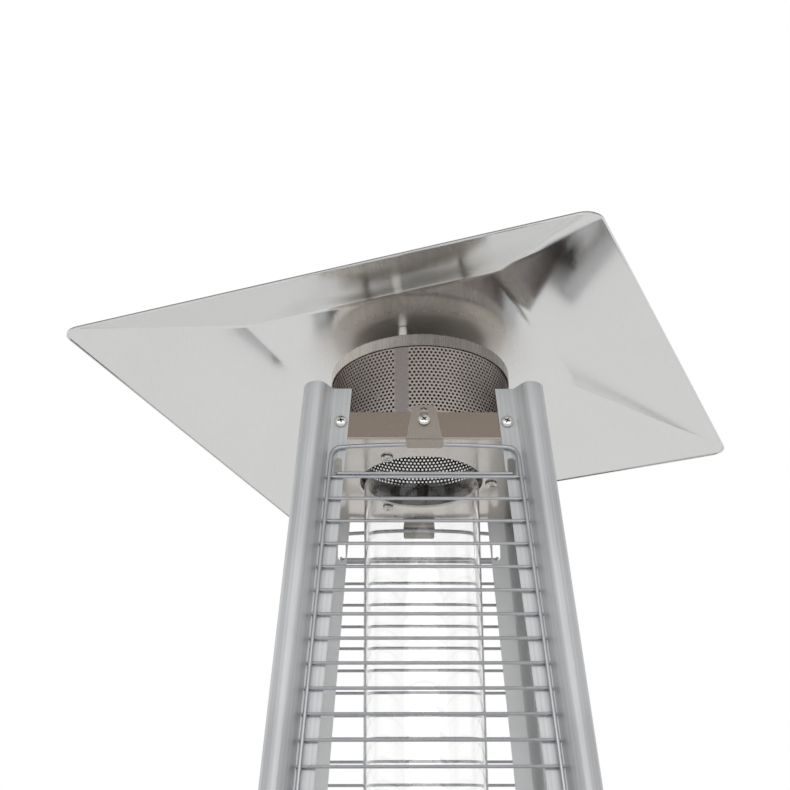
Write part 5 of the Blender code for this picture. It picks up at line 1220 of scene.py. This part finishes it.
# Pieces that keep the CAD node's shape, with eased edges
for name, finish, slot_name, bevel in (
        ("burner_deck", panel_steel, "post_steel", 0.0004), ("wheel_bracket", panel_steel, "post_steel", 0.0004),
        ("door_magnet", black_plastic, "black_plastic", 0.0006), ("gas_valve", brass, "brass_fitting", 0.0006),
        ("igniter_body", black_plastic, "black_plastic", 0.0003), ("gas_pipe", zinc, "bright_zinc", 0.0),
        ("valve_spindle", zinc, "bright_zinc", 0.0003)):
    body = "spindle" if name == "valve_spindle" else "frame"
    shape = cleaned(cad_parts[name].data.copy(), flat=True)
    piece("eased_" + name, shape, finish, slot_name, [name], body, bevel=bevel)


# Studio and camera

def studio():
    """Pale floor, a surround and soft lights. The surround is white where the camera sees it, straight or through the
    glass. What the pieces mirror is darker towards the horizon, the sides and the camera, and round two dark flags in
    front, left and right."""
    finish, tree, shader, where = new_finish("studio_floor")
    patches = spread(tree, noise(tree, where, 3.0, 3.0), 0.0, 1.0)
    fill(tree, shader, {"Base Color": mixed(tree, patches, (0.87, 0.87, 0.87), (0.90, 0.90, 0.90)), "Roughness": 0.7})
    floor = bpy.data.meshes.new("floor")
    floor.from_pydata([(-30, -30, 0), (30, -30, 0), (30, 30, 0), (-30, 30, 0)], [], [(0, 1, 2, 3)])
    floor.materials.append(finish)
    item = placed("studio_floor", floor)

    world = bpy.data.worlds.new("white_studio")
    world.use_nodes = True
    tree = world.node_tree
    heading = node(tree, "ShaderNodeTexCoord", {}).outputs["Generated"]
    ramp = node(tree, "ShaderNodeValToRGB", {"Fac": spread(tree, axis_part(tree, heading, "Z"), 0.0, 1.0, (-0.2, 1.0))})
    stops = ((0.0, 0.62), (0.20, 0.60), (0.36, 0.92), (0.60, 1.0), (1.0, 1.0))
    for position, _ in stops[1:-1]:
        ramp.color_ramp.elements.new(position)
    for element, (_, value) in zip(ramp.color_ramp.elements, stops):
        element.color = (value, value, value, 1.0)
    factors = [spread(tree, axis_part(tree, heading, axis), dim, 1.0, span)
               for axis, dim, span in (("Y", 0.62, (-0.9, 0.1)), ("X", 0.74, (-0.9, -0.3)), ("X", 0.58, (0.9, 0.3)))]
    factors += [spread(tree, vector_maths(tree, "DOT_PRODUCT", heading, aim, output=1), 1.0, dim, (0.78, 0.97))
                for aim, dim in (((-0.83, -0.38, 0.41), 0.80), ((0.83, -0.38, 0.41), 0.76))]
    shade = ramp.outputs["Color"]
    for factor in factors:
        shade = vector_maths(tree, "MULTIPLY", shade, factor)
    path = node(tree, "ShaderNodeLightPath", {}).outputs
    seen = maths(tree, "MAXIMUM", path["Is Camera Ray"], path["Is Transmission Ray"])
    fill(tree, tree.nodes["Background"], {"Color": mixed(tree, seen, shade, (1.0, 1.0, 1.0))})
    bpy.context.scene.world = world

    for name, spot, size, power in (("key", (-1.8, -2.1, 3.6), (2.6, 2.6), 3.5),
                                    ("side", (2.4, -0.8, 2.6), (2.0, 2.0), 2.0),
                                    ("front", (0.0, -2.8, 2.6), (4.6, 1.2), 19.0)):
        lamp = bpy.data.lights.new(name, "AREA")
        lamp.shape = "RECTANGLE"
        lamp.size, lamp.size_y, lamp.energy = *size, power
        item = placed(name, lamp)
        item.location = spot
        item.rotation_mode = "QUATERNION"
        item.rotation_quaternion = (Vector((0, 0, 1.9)) - Vector(spot)).to_track_quat("-Z", "Y")


def camera():
    """Camera of the photograph: below the head and in front of it, looking up."""
    lens = bpy.data.cameras.new("camera")
    lens.lens, lens.sensor_width = 71.113, 36.0
    item = placed("camera", lens)
    right = Vector((0.999913, -0.012297, -0.004705))
    up = Vector((-0.001572, -0.466346, 0.884601))
    forward = Vector((0.013072, 0.884517, 0.466324))
    axes = Matrix((right, up, -forward)).transposed()
    item.matrix_world = Matrix.Translation((-0.0411, -1.2434, 1.5617)) @ axes.to_4x4()
    bpy.context.scene.camera = item
    bpy.context.scene.view_settings.view_transform = "Standard"


studio()
camera()
